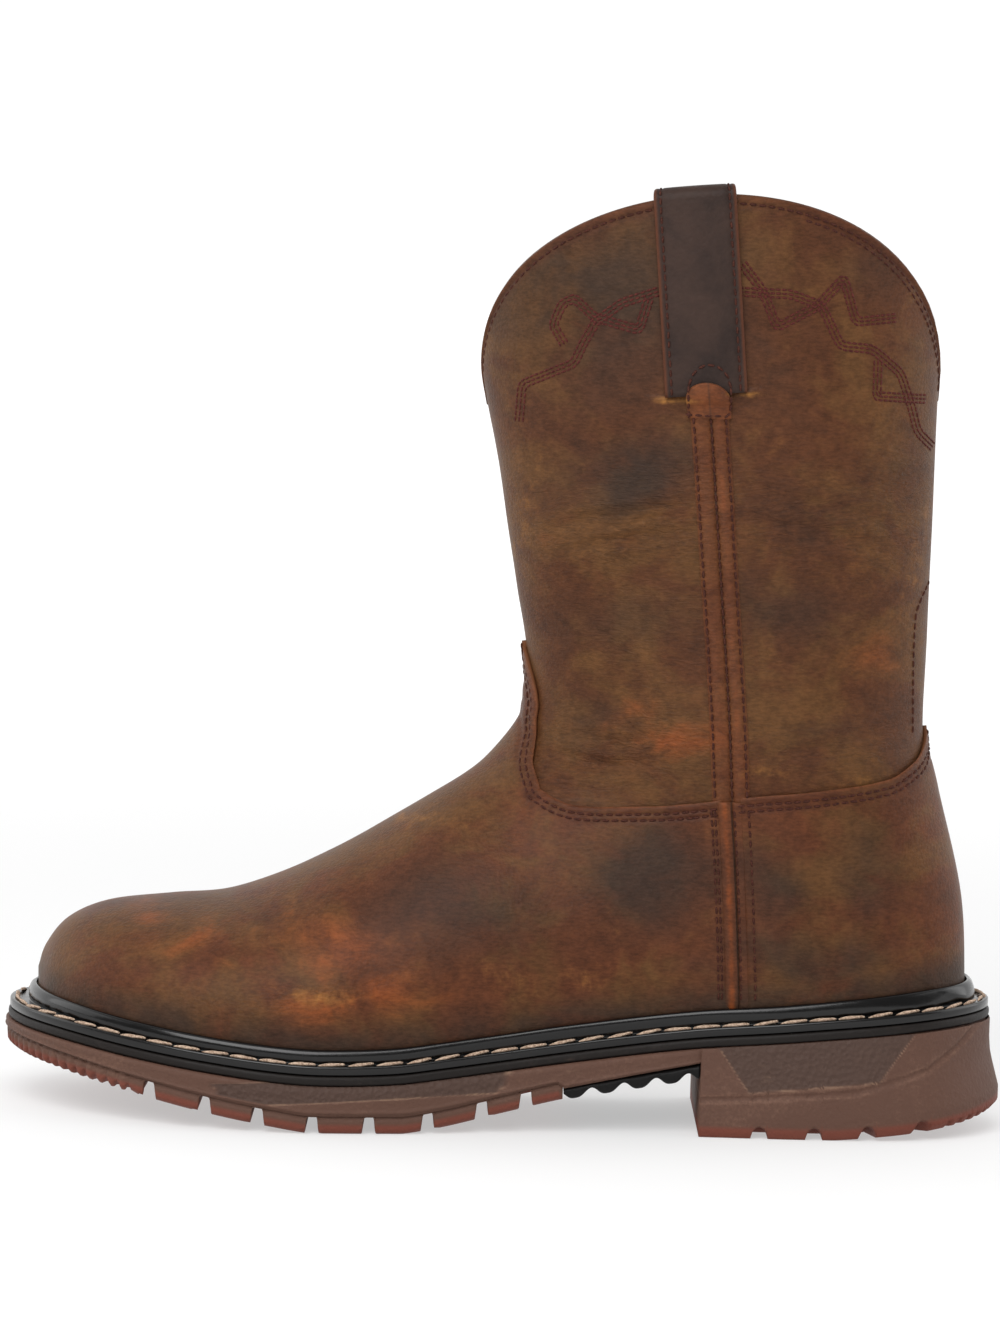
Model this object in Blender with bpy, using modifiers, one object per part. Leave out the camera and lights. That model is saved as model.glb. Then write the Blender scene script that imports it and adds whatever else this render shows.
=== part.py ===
# A left roper boot: a leather pull-on upper on a stitched welt and a moulded rubber sole.
# Sizes are millimetres until the meshes are made. Toe towards -X, outer side of the foot towards -Y, floor at
# z = 0.
import math

import bmesh
import bpy
from mathutils import Vector

MM = 0.001
GAP = 0.3            # clearance between pieces
WALL = 2.0           # leather and lining of the upper
PANEL = 1.4          # leather of the vamp and counter
MIDSOLE = 2.8        # black plate on the outsole
WELT = 2.9           # flange of the welt
INSOLE = 3.2
OUTER, INNER = -1, 1  # the two sides of the foot, by the sign of y

# The upper's sections, toe to collar. Each is a plane across the boot, seen from the side as a line from the
# ridge (front) to an end on the feather edge or, from HEEL_ROW up, on the back of the heel and shaft.
SECTION_COLUMNS = ("ridge_x", "ridge_z", "end_x", "end_z", "feather", "half", "ridge_y", "end_y",
                   "top", "foot")
SECTIONS = (
    (-146.2, 41.0, -146.0, 0, 0.0, 0.0, 8.5, 8.5, 0.85, 0.75),
    (-143.8, 48.2, -144.2, 0, 12.0, 13.0, 8.2, 8.0, 0.85, 0.75),
    (-137.5, 56.0, -138.0, 0, 24.5, 26.3, 7.0, 6.8, 0.85, 0.75),
    (-125.5, 61.4, -126.5, 0, 35.5, 37.5, 5.5, 4.8, 0.87, 0.75),
    (-106.0, 64.3, -108.0, 0, 43.5, 45.8, 4.0, 2.0, 0.92, 0.75),
    (-86.8, 66.8, -87.0, 0, 47.3, 49.8, 3.0, -0.2, 0.98, 0.75),
    (-66.0, 74.8, -63.0, 0, 46.4, 49.8, 2.5, -2.8, 1.02, 0.75),
    (-45.0, 86.2, -34.0, 0, 40.8, 46.6, 2.0, -4.6, 1.04, 0.75),
    (-24.0, 99.4, 2.0, 0, 33.0, 42.5, 1.5, -5.0, 1.04, 0.75),
    (-8.0, 110.6, 46.0, 0, 29.6, 39.0, 1.2, -3.0, 1.02, 0.75),
    (2.6, 123.5, 92.0, 0, 31.0, 37.2, 1.0, -0.6, 1.0, 0.75),
    (4.6, 131.0, 122.0, 0, 27.2, 36.6, 0.8, 0.0, 1.0, 0.76),
    (5.1, 137.0, 138.3, 0, 15.8, 36.4, 0.6, 0.0, 1.0, 0.78),
    (4.9, 143.0, 144.6, 0, 0.0, 36.3, 0.5, 0.0, 1.0, 0.8),
    (3.2, 153.8, 142.2, 74.0, 0.0, 36.6, 0.4, 0.0, 0.98, 0.82),
    (0.9, 165.0, 133.7, 108.0, 0.0, 37.1, 0.2, 0.0, 0.96, 0.86),
    (-0.9, 175.5, 129.8, 126.0, 0.0, 37.8, 0.0, 0.0, 0.94, 0.9),
    (-3.3, 189.0, 130.1, 158.0, 0.0, 38.8, 0.0, 0.0, 0.93, 0.92),
    (-6.5, 207.0, 130.3, 196.0, 0.0, 40.1, 0.0, 0.0, 0.92, 0.92),
    (-10.7, 226.0, 130.5, 228.0, 0.0, 41.4, 0.0, 0.0, 0.92, 0.92),
    (-13.4, 240.0, 131.0, 243.0, 0.0, 42.0, 0.0, 0.0, 0.92, 0.92),
    (-15.0, 265.0, 131.5, 268.0, 0.0, 42.8, 0.0, 0.0, 0.92, 0.92),
    (-15.5, 300.0, 131.5, 303.0, 0.0, 43.5, 0.0, 0.0, 0.92, 0.92),
)
HEEL_ROW = 13
TOP_ROW = len(SECTIONS) - 1

# Heights along the sole: the outsole's top, its tread, how far the edge stands out from the upper, the bead.
SOLE_COLUMNS = ("x", "top", "tread", "reach", "bead")
SOLE = (
    (-158.0, 26.0, 18.0, 12.2, 5.6),
    (-137.0, 24.4, 15.0, 9.2, 5.2),
    (-116.0, 21.6, 11.0, 7.8, 4.8),
    (-90.0, 18.4, 6.0, 7.4, 4.6),
    (-70.0, 16.4, 2.7, 7.4, 4.6),
    (-55.0, 15.6, 0.7, 7.4, 4.6),
    (-33.0, 16.1, 0.7, 7.4, 4.8),
    (-18.0, 17.8, 2.9, 7.4, 5.0),
    (0.0, 20.2, 7.2, 7.4, 5.2),
    (19.5, 23.0, 11.9, 7.4, 5.4),
    (60.0, 28.3, 20.0, 7.4, 5.4),
    (86.0, 30.6, 24.0, 7.5, 5.2),
    (111.0, 32.9, 26.0, 7.8, 5.6),
    (134.0, 35.0, 28.0, 8.7, 6.0),
    (158.0, 36.6, 30.0, 9.6, 6.4),
)
FLOOR = 1.0          # height of the floor in these tables; the pieces are set down by this much
MIDDLE = 1.0         # how far the sole's middle is to the -Y side of these tables; the pieces are moved back
TREAD_END = 19.5     # x where the forefoot tread stops
BREAST = 62.0        # x of the heel breast
ARCH_FRONT = 15.4    # underside of the outsole at both ends of the arch
ARCH_BACK = 24.1
HEEL_GROUND = ((61.0, 0.7), (84.0, 0.7), (102.0, 0.9), (116.0, 2.0), (132.0, 3.8), (146.0, 6.2), (158.0, 9.4))

# Side steps, top to bottom: share of the depth, and how far out from the welt's edge
PLATE_STEPS = ((0.0, 0.8), (0.3, 1.3), (0.38, 0.5), (0.8, 0.5), (0.86, 1.2), (1.0, 1.0))
TREAD_STEPS = ((-0.3, 0.0), (0.1, 0.0), (0.3, 0.7), (0.85, 0.5), (1.0, -0.4))
# Heel steps: share of the depth, and how far out at the sides and at the back
HEEL_STEPS = ((-0.1, 0.0, 0.0), (0.12, 0.9, 0.9), (0.2, 0.9, 0.9), (0.26, 0.3, -0.2), (0.34, 0.3, -0.2),
              (0.44, 1.0, 2.0), (0.76, 1.4, 4.2), (0.92, 1.4, 4.2), (1.0, 0.6, 2.4))

# Edges of the overlays. The vamp's two edges start at the notch beside the tongue and are places on the
# sections: s (which section) and t (0 at the ridge, 1 at the end). The other lines are in the side view: x, z.
TONGUE_EDGE = ((9.6, 0.315), (9.78, 0.235), (10.5, 0.168), (11.6, 0.132), (12.5, 0.095), (13.25, 0.05),
               (13.72, 0.0))
QUARTER_EDGE = ((9.6, 0.315), (9.68, 0.37), (9.95, 0.414), (10.43, 0.441), (11.02, 0.453), (11.74, 0.447),
                (12.85, 0.42), (13.16, 0.436), (13.34, 0.455), (13.52, 0.476))
COUNTER_LINE = ((80.3, 107.6), (91.0, 108.6), (102.0, 110.0), (112.5, 111.6), (119.5, 113.6), (125.0, 117.3),
                (128.6, 122.0), (130.0, 127.5))
SEAM_LINE = ((48.0, 300.0), (56.9, 230.5), (62.0, 180.0), (66.8, 131.0), (68.6, 106.2), (70.4, 85.0),
             (72.9, 44.5), (73.4, 30.0))
CHANNEL = 2.9        # half width of the channel between vamp and counter, with the seam in it

# Collar: low at front and back, high at both sides
DIP_FRONT = 226.0
DIP_BACK = 231.5
COLLAR_RISE = 63.0
COLLAR_FRONT = 0.74  # how sharply the edge leaves the dips, lower is sharper
COLLAR_BACK = 0.84

# Colour and roughness of each piece
FINISH = {
    "outsole": ((0.16, 0.11, 0.09), 0.75),
    "shank_plate": ((0.02, 0.02, 0.02), 0.6),
    "midsole": ((0.03, 0.03, 0.03), 0.5),
    "welt": ((0.03, 0.03, 0.03), 0.35),
    "insole": ((0.45, 0.33, 0.2), 0.8),
    "upper": ((0.16, 0.08, 0.04), 0.5),
    "vamp": ((0.18, 0.09, 0.04), 0.45),
    "counter": ((0.15, 0.08, 0.04), 0.45),
    "side_seam": ((0.22, 0.1, 0.04), 0.5),
    "pull_strap": ((0.1, 0.06, 0.05), 0.6),
}


def curve(rows, x):
    # Smooth curve through (x, value) rows, straight beyond the ends
    last = len(rows) - 2
    k = 0
    while k < last and x > rows[k + 1][0]:
        k += 1

    def slope(i):
        a = rows[max(i - 1, 0)]
        b = rows[min(i + 1, last + 1)]
        return (b[1] - a[1]) / (b[0] - a[0])

    (xa, va), (xb, vb) = rows[k], rows[k + 1]
    if x <= xa:
        return va + slope(k) * (x - xa)
    if x >= xb:
        return vb + slope(k + 1) * (x - xb)
    w = xb - xa
    u = (x - xa) / w
    near = (2 * u - 3) * u * u
    return (1 + near) * va - near * vb + w * u * (u - 1) * ((u - 1) * slope(k) + u * slope(k + 1))


def column(table, columns, name, key=None, rows=None):
    at = columns.index(name)
    keep = range(len(table)) if rows is None else rows
    return tuple((table[i][columns.index(key)] if key else i, table[i][at]) for i in keep)


def rounded(rows, sign):
    # Rows continued by their mirror image past both ends, which rounds the toe and the heel in plan
    return ((-1, sign * rows[1][1]),) + rows + ((rows[-1][0] + 1, sign * rows[-2][1]),)


SECTION_CURVES = {name: column(SECTIONS, SECTION_COLUMNS, name) for name in SECTION_COLUMNS}
SECTION_CURVES["half"] = ((-1, -SECTIONS[1][5]),) + SECTION_CURVES["half"]
FEATHER_END = rounded(column(SECTIONS, SECTION_COLUMNS, "end_x", rows=range(HEEL_ROW + 1)), 1)
FEATHER_HALF = rounded(column(SECTIONS, SECTION_COLUMNS, "feather", rows=range(HEEL_ROW + 1)), -1)
SOLE_CURVES = {name: column(SOLE, SOLE_COLUMNS, name, key="x") for name in SOLE_COLUMNS[1:]}


def sole(name, x):
    return curve(SOLE_CURVES[name], x)


def midsole_top(x):
    return sole("top", x) + GAP + MIDSOLE


def feather_z(x):
    return midsole_top(x) + GAP + 0.8


def ledge(x):
    return midsole_top(x) + GAP + WELT


def bead_top(x):
    return ledge(x) + sole("bead", x)


BACK_X = ((HEEL_ROW, SECTIONS[HEEL_ROW][2]),) + SECTION_CURVES["end_x"][HEEL_ROW + 1:]
BACK_Z = ((HEEL_ROW, feather_z(SECTIONS[HEEL_ROW][2])),) + SECTION_CURVES["end_z"][HEEL_ROW + 1:]


def chord(s):
    # A section's line in the side view
    ridge = (curve(SECTION_CURVES["ridge_x"], s), curve(SECTION_CURVES["ridge_z"], s))
    if s >= HEEL_ROW:
        return ridge, (curve(BACK_X, s), curve(BACK_Z, s))
    x = curve(FEATHER_END, s)
    return ridge, (x, feather_z(x))


def fullness(s):
    half = max(curve(SECTION_CURVES["half"], s), 0.001)
    feather = max(curve(FEATHER_HALF, s), 0.0) if s < HEEL_ROW else 0.0
    foot = curve(SECTION_CURVES["foot"], s)
    turn = math.pi - math.asin(min(feather / half, 0.999) ** (1 / foot))
    return half, turn, curve(SECTION_CURVES["top"], s), foot


def on_middle(s, t):
    # Where both sides meet: the toe, the ridge and the line up the back
    return s <= 0.001 or t <= 0.0 or (t >= 1.0 and s >= HEEL_ROW)


def skin(s, t, side):
    # The upper's outer face: s runs over the sections, t from the ridge (0) to the end (1)
    s = max(s, 0.001)
    (rx, rz), (ex, ez) = chord(s)
    half, turn, top, foot = fullness(s)
    angle = turn * t
    share = (1 - math.cos(angle)) / (1 - math.cos(turn))
    power = top + (foot - top) * share
    middle = curve(SECTION_CURVES["ridge_y"], s) * (1 - share) + curve(SECTION_CURVES["end_y"], s) * share
    wide = half * max(math.sin(angle), 0.0) ** power
    if on_middle(s, t):
        wide = 0.0
    return Vector((rx + (ex - rx) * share, middle + side * wide, rz + (ez - rz) * share))


def facing(s, t, side):
    # Outward direction, taken a little inside the ends of the section
    s0 = min(max(s, 0.15), TOP_ROW - 0.05)
    t0 = min(max(t, 0.03), 0.97)

    def normal(on):
        along = skin(s0 + 0.05, t0, on) - skin(s0 - 0.05, t0, on)
        down = skin(s0, t0 + 0.02, on) - skin(s0, t0 - 0.02, on)
        return (along.cross(down) * on).normalized()

    if not on_middle(s, t):
        return normal(side)
    n = normal(OUTER) + normal(INNER)
    n.y = 0.0
    return n.normalized()


def lifted(s, t, side, lift):
    place = skin(s, t, side)
    return place + facing(s, t, side) * lift if lift else place


def find(x, z):
    # The section and place on it that show at x, z in the side view
    low, high = 0.0, float(TOP_ROW)
    for _ in range(40):
        s = (low + high) / 2
        (rx, rz), (ex, ez) = chord(s)
        if (ex - rx) * (z - rz) - (ez - rz) * (x - rx) > 0:
            low = s
        else:
            high = s
    (rx, rz), (ex, ez) = chord(s)
    span = (ex - rx) ** 2 + (ez - rz) ** 2
    share = min(max(((x - rx) * (ex - rx) + (z - rz) * (ez - rz)) / span, 0.0), 1.0)
    turn = fullness(s)[1]
    angle = math.acos(max(1 - share * (1 - math.cos(turn)), -1.0))
    return s, angle / turn


def on_skin(x, z, side, lift):
    s, t = find(x, z)
    return lifted(s, t, side, lift)


def seam_x(z):
    return curve(tuple((row_z, row_x) for row_x, row_z in reversed(SEAM_LINE)), z)


def seam_s(t, shift=0.0):
    # s where the line at t meets the side seam, moved by shift along x
    low, high = 4.0, 17.0
    for _ in range(40):
        s = (low + high) / 2
        p = skin(s, t, OUTER)
        if p.x < seam_x(p.z) + shift:
            low = s
        else:
            high = s
    return s


def seam_t(s, shift=0.0):
    # t where section s meets the side seam, moved by shift along x
    low, high = 0.0, 1.0
    for _ in range(40):
        t = (low + high) / 2
        p = skin(s, t, OUTER)
        if p.x < seam_x(p.z) + shift:
            low = t
        else:
            high = t
    return t


NOTCH = seam_s(1.0)          # section of the notch, which also ends at the seam's foot
TIP = TONGUE_EDGE[-1][0]     # section of the tongue's tip
PEAK = QUARTER_EDGE[-1][0]   # section where the vamp's edge meets the seam
T_NOTCH = TONGUE_EDGE[0][1]
T_PEAK = seam_t(PEAK)


def tongue_t(s):
    return 0.0 if s >= TIP else curve(((NOTCH, T_NOTCH),) + TONGUE_EDGE[1:], s)


def quarter_t(s):
    return T_PEAK if s >= PEAK else curve(((NOTCH, T_NOTCH),) + QUARTER_EDGE[1:-1] + ((PEAK, T_PEAK),), s)


COUNTER_EDGE = (((T_PEAK, PEAK),) + tuple((find(x, z)[1], find(x, z)[0]) for x, z in COUNTER_LINE[:-1])
                + ((1.0, find(*COUNTER_LINE[-1])[0]),))


def counter_end(t):
    return curve(COUNTER_EDGE, t)


def collar_end(t):
    # s of the collar at t
    low, high = 17.0, float(TOP_ROW)
    for _ in range(40):
        s = (low + high) / 2
        turn = fullness(s)[1]
        share = (1 - math.cos(turn * t)) / (1 - math.cos(turn))
        dip = DIP_FRONT + (DIP_BACK - DIP_FRONT) * share
        shape = COLLAR_FRONT + (COLLAR_BACK - COLLAR_FRONT) * share
        rim = dip + COLLAR_RISE * max(math.sin(turn * t), 0.0) ** shape
        if skin(s, t, OUTER).z < rim:
            low = s
        else:
            high = s
    return s


def spread(start, end, count):
    return [start + (end - start) * i / count for i in range(count + 1)]


FOOT_ROWS = (0.0, 0.05, 0.11, 0.18, 0.265, 0.36, 0.45, 0.53, 0.605, 0.675, 0.74, 0.8, 0.85, 0.9, 0.95, 1.0)
ANKLE_ROWS = (0.0, 0.03, 0.11, 0.25, 0.42, 0.6, 0.8, 1.0)
SHAFT_ROWS = spread(0.0, 1.0, 8)
TONGUE_COLUMNS = spread(0.0, 1.0, 4)
QUARTER_COLUMNS = spread(0.0, 0.94, 6) + [1.0]
FRONT_COLUMNS = (0.0, 0.08, 0.19, 0.34, 0.52, 0.75, 1.0)
HEEL_SHARES = (0.0, 0.2, 0.4, 0.6, 0.78, 0.91, 1.0)
BACK_SHARES = (0.14, 0.32, 0.54, 0.77, 1.0)
ANKLE = [NOTCH + (PEAK - NOTCH) * share for share in ANKLE_ROWS]
INSTEP = [NOTCH + (TIP - NOTCH) * share for share in ANKLE_ROWS]
# t down the seam, from the vamp's edge to the welt
SEAM_COLUMNS = [seam_t(s) for s in reversed(ANKLE[1:])] + [1.0]


def foot_places():
    columns = [T_NOTCH * b for b in TONGUE_COLUMNS]
    columns += [T_NOTCH + (1 - T_NOTCH) * b for b in QUARTER_COLUMNS[1:]]
    return [[(NOTCH * share, t) for t in columns] for share in FOOT_ROWS]


def tongue_places():
    return [[(s, tongue_t(s) * b) for b in TONGUE_COLUMNS] for s in INSTEP]


def first(low, high, inside):
    # The place between low (not inside) and high (inside) where inside begins
    for _ in range(40):
        middle = (low + high) / 2
        if inside(middle):
            high = middle
        else:
            low = middle
    return high


def quarter_places(clear=0.0):
    # Between the vamp's edge and the seam, or a clearance short of it
    last = first(PEAK, NOTCH + 0.5, lambda s: quarter_t(s) < seam_t(s, -clear)) if clear else PEAK
    rows = []
    for s in ANKLE:
        s = min(s, last)
        start = quarter_t(s)
        full = seam_t(s) if s > NOTCH else 1.0
        end = max(start, seam_t(s, -clear)) if clear else full
        rows.append([(s, min(start + (full - start) * b, end)) for b in QUARTER_COLUMNS])
    return rows


def counter_places(clear=0.0):
    # Rows from the seam to a middle line that ends at the heel's foot, then to the top line
    start_t = first(T_PEAK, T_PEAK + 0.2, lambda t: counter_end(t) > seam_s(t, clear)) if clear else T_PEAK
    rows = [[] for _ in HEEL_SHARES + BACK_SHARES]
    split = (HEEL_ROW - NOTCH) / (counter_end(1.0) - NOTCH)
    for t in SEAM_COLUMNS:
        t = max(t, start_t)
        start = seam_s(t) if t > T_PEAK else PEAK
        end = counter_end(t)
        middle = HEEL_ROW if t >= 1.0 else start + (end - start) * split
        least = min(seam_s(t, clear), end) if clear else start
        steps = [start + (middle - start) * a for a in HEEL_SHARES]
        steps += [middle + (end - middle) * a for a in BACK_SHARES]
        for row, s in zip(rows, steps):
            row.append((max(s, least), t))
    return rows


def front_places():
    # The shaft between the tongue and the vamp's edge
    rows = []
    for high, low in zip(INSTEP, ANKLE):
        start, end = tongue_t(high), quarter_t(low)
        rows.append([(high + (low - high) * b, start + (end - start) * b) for b in FRONT_COLUMNS])
    return rows


def shaft_places():
    rows = [[] for _ in SHAFT_ROWS]
    for t in [T_PEAK * b for b in FRONT_COLUMNS] + SEAM_COLUMNS[1:]:
        start = TIP + (PEAK - TIP) * t / T_PEAK if t <= T_PEAK else counter_end(t)
        end = collar_end(t)
        for row, share in zip(rows, SHAFT_ROWS):
            row.append((start + (end - start) * share, t))
    return rows


def collection(name):
    made = bpy.data.collections.new(name)
    bpy.context.scene.collection.children.link(made)
    return made


def add_object(name, bm, into):
    # A mesh object of the finished bmesh, standing on the empty that sets the boot on its floor
    bmesh.ops.remove_doubles(bm, verts=bm.verts, dist=0.00002)
    bmesh.ops.dissolve_degenerate(bm, edges=bm.edges, dist=0.00002)
    bmesh.ops.recalc_face_normals(bm, faces=bm.faces)
    mesh = bpy.data.meshes.new(name)
    bm.to_mesh(mesh)
    bm.free()
    made = bpy.data.objects.new(name, mesh)
    made.parent = BOOT
    into.objects.link(made)
    return made


def paint(made, key):
    colour, roughness = FINISH[key]
    material = bpy.data.materials.new(made.name)
    material.use_nodes = True
    shader = material.node_tree.nodes["Principled BSDF"].inputs
    shader["Base Color"].default_value = colour + (1.0,)
    shader["Roughness"].default_value = roughness
    shader["Metallic"].default_value = 0.0
    made.data.materials.append(material)
    return made


def grid_faces(bm, grid):
    verts = [[bm.verts.new(p * MM) for p in row] for row in grid]
    for a, b in zip(verts, verts[1:]):
        for i in range(len(a) - 1):
            bm.faces.new((a[i], a[i + 1], b[i + 1]))
            bm.faces.new((a[i], b[i + 1], b[i]))
    return verts


def leather(name, key, patches, lift, thick, inward):
    # Open patches on the upper's own face, both sides, given their thickness by Solidify
    bm = bmesh.new()
    for side in (OUTER, INNER):
        for places in patches:
            grid_faces(bm, [[lifted(s, t, side, lift) for s, t in row] for row in places])
    made = paint(add_object(name, bm, PARTS), key)
    faces = made.data.polygons
    middle = sum((f.center * f.area for f in faces), Vector()) / sum(f.area for f in faces)
    out = sum(f.normal.dot(f.center - middle) * f.area for f in faces)
    solid = made.modifiers.new("Thickness", "SOLIDIFY")
    solid.thickness = thick * MM
    solid.offset = (-1.0 if inward else 1.0) * (1.0 if out > 0 else -1.0)
    solid.use_even_offset = False
    return made


def overlay(places):
    # The bottom edge of an overlay stops just short of the feather edge, behind the welt's bead
    last = [t for row in places for s, t in row if t < 1.0]
    return [[(s, t if t < 1.0 or s >= HEEL_ROW else max(last)) for s, t in row] for row in places]


def rim(turn, side, out):
    # Plan outline of the sole: the feather edge moved outwards by out; turn runs 0 (toe) to pi (heel)
    front, back = SECTIONS[0][2], SECTIONS[HEEL_ROW][2]

    def feather(a):
        x = (front + back) / 2 - math.cos(a) * (back - front) / 2
        low, high = 0.0, float(HEEL_ROW)
        for _ in range(40):
            s = (low + high) / 2
            if curve(FEATHER_END, s) < x:
                low = s
            else:
                high = s
        half = max(curve(FEATHER_HALF, s), 0.0) if 0 < a < math.pi else 0.0
        return Vector((x, curve(SECTION_CURVES["end_y"], s) + side * half, 0.0))

    here = feather(turn)
    tangent = feather(min(turn + 0.02, math.pi)) - feather(max(turn - 0.02, 0.0))
    normal = Vector((tangent.y, -tangent.x, 0.0)).normalized() * -side
    if turn <= 0 or turn >= math.pi:
        normal = Vector((-1.0 if turn <= 0 else 1.0, 0.0, 0.0))
    return here + normal * out


def edge(out, height, turns, start=None, end=None):
    # One level of a sole piece: a row of points on the outer side and one on the inner
    level = []
    for side in (OUTER, INNER):
        row = []
        for a in turns:
            x = rim(a, side, 0).x
            p = rim(a, side, out(x) if callable(out) else out)
            p.x = max(p.x, start) if start is not None else p.x
            p.x = min(p.x, end) if end is not None else p.x
            p.z = height(p.x)
            row.append(p)
        if start is not None:
            row[0].x = start
        if end is not None:
            row[-1].x = end
        level.append(row)
    return level


def stack(name, levels, into):
    # A closed solid through levels, each a row of points per side
    bm = bmesh.new()
    grids = [[[bm.verts.new(p * MM) for p in row] for row in level] for level in levels]
    for lower, upper in zip(grids, grids[1:]):
        for a, b in zip(lower, upper):
            for i in range(len(a) - 1):
                bm.faces.new((a[i], a[i + 1], b[i + 1], b[i]))
        for i in (0, -1):
            bm.faces.new((lower[0][i], lower[1][i], upper[1][i], upper[0][i]))
    for level in (grids[0], grids[-1]):
        for i in range(len(level[0]) - 1):
            bm.faces.new((level[0][i], level[0][i + 1], level[1][i + 1], level[1][i]))
    return add_object(name, bm, into)


def ring(name, levels, into):
    # A closed ring whose section runs through the levels and back to the first
    bm = bmesh.new()
    grids = [[[bm.verts.new(p * MM) for p in row] for row in level] for level in levels]
    for lower, upper in zip(grids, grids[1:] + grids[:1]):
        for a, b in zip(lower, upper):
            for i in range(len(a) - 1):
                bm.faces.new((a[i], a[i + 1], b[i + 1], b[i]))
    return add_object(name, bm, into)


def slab(name, under, over, into):
    # A closed solid between two grids of the same shape
    bm = bmesh.new()
    low = grid_faces(bm, under)
    high = grid_faces(bm, over)
    border = [low[0], [row[-1] for row in low], low[-1][::-1], [row[0] for row in low][::-1]]
    above = [high[0], [row[-1] for row in high], high[-1][::-1], [row[0] for row in high][::-1]]
    for a, b in zip(border, above):
        for i in range(len(a) - 1):
            bm.faces.new((a[i], a[i + 1], b[i + 1], b[i]))
    return add_object(name, bm, into)


def boolean(made, other, operation):
    step = made.modifiers.new(other.name, "BOOLEAN")
    step.operation = operation
    step.object = other
    step.solver = "EXACT"
    other.hide_render = True
    other.display_type = "WIRE"
    return made


def boxes(name, rows):
    # One cutter made of separate boxes: centre, half sizes along their own axes, turn about Z, tilt about Y
    bm = bmesh.new()
    for centre, half, turn, tilt in rows:
        ahead = Vector((math.cos(turn) * math.cos(tilt), math.sin(turn) * math.cos(tilt), math.sin(tilt)))
        across = Vector((-math.sin(turn), math.cos(turn), 0.0))
        up = ahead.cross(across)
        corner = {}
        for i in (-1, 1):
            for j in (-1, 1):
                for k in (-1, 1):
                    p = centre + ahead * half[0] * i + across * half[1] * j + up * half[2] * k
                    corner[i, j, k] = bm.verts.new(p * MM)
        for axis in range(3):
            for sign in (-1, 1):
                keys = [(a, b) for a, b in ((-1, -1), (1, -1), (1, 1), (-1, 1))]
                face = []
                for a, b in keys:
                    key = [a, b]
                    key.insert(axis, sign)
                    face.append(corner[tuple(key)])
                bm.faces.new(face)
    return add_object(name, bm, CUTTERS)


for old in list(bpy.data.objects):
    bpy.data.objects.remove(old)
PARTS = collection("roper_boot")
CUTTERS = collection("cutters")
BOOT = bpy.data.objects.new("boot", None)
BOOT.location = (0.0, MIDDLE * MM, -FLOOR * MM)
PARTS.objects.link(BOOT)

# Upper and its overlays
whole = (foot_places(), tongue_places(), quarter_places(), counter_places(), front_places(), shaft_places())
leather("upper", "upper", whole, 0.0, WALL, True)
front = (overlay(foot_places()), tongue_places(), overlay(quarter_places(CHANNEL)))
leather("vamp", "vamp", front, GAP, PANEL, False)
leather("counter", "counter", (overlay(counter_places(CHANNEL)),), GAP, PANEL, False)

# Sole, from the floor up
EVEN = spread(0.0, math.pi, 24)
STATIONS = [0.0, 0.06] + EVEN[1:-1] + [math.pi - 0.06, math.pi]     # closer round the toe and heel


def tread(x):
    return max(sole("tread", x), FLOOR)


def arch(x):
    share = (x - TREAD_END) / (BREAST - TREAD_END)
    return ARCH_FRONT + (ARCH_BACK - ARCH_FRONT) * share


LUG = 5.6            # depth of the tread's grooves


def plate_under(x):
    if x < TREAD_END:
        return tread(x) + LUG
    return min(arch(x), sole("top", x) - 4.2)


def heel_ground(x):
    return max(curve(HEEL_GROUND, x), FLOOR)


def between(top, bottom, share):
    return lambda x: top(x) + (bottom(x) - top(x)) * share


def back_share(x):
    u = min(max((x - 105.0) / 40.0, 0.0), 1.0)
    return u * u * (3 - 2 * u)


def turn_at(x):
    # Station whose feather edge is at x
    front, back = SECTIONS[0][2], SECTIONS[HEEL_ROW][2]
    return math.acos(((front + back) / 2 - x) * 2 / (back - front))


def outsole_top(x):
    return sole("top", x)


def reach(x):
    return sole("reach", x)


plate_levels = [edge(lambda x, d=d: reach(x) + d, between(outsole_top, plate_under, share), STATIONS)
                for share, d in PLATE_STEPS]
outsole = paint(stack("outsole", plate_levels, PARTS), "outsole")
tread_turns = spread(0.0, turn_at(TREAD_END), 16)
tread_levels = [edge(lambda x, d=d: reach(x) + d, between(plate_under, tread, share), tread_turns,
                     end=TREAD_END)
                for share, d in TREAD_STEPS]
boolean(outsole, stack("tread_block", tread_levels, CUTTERS), "UNION")
heel_turns = spread(turn_at(BREAST), math.pi, 14)
heel_levels = [edge(lambda x, a=a, b=b: reach(x) + a + (b - a) * back_share(x),
                    between(lambda x: sole("top", x) - 3.4, heel_ground, share), heel_turns, start=BREAST)
               for share, a, b in HEEL_STEPS]
boolean(outsole, stack("heel_block", heel_levels, CUTTERS), "UNION")

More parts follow.
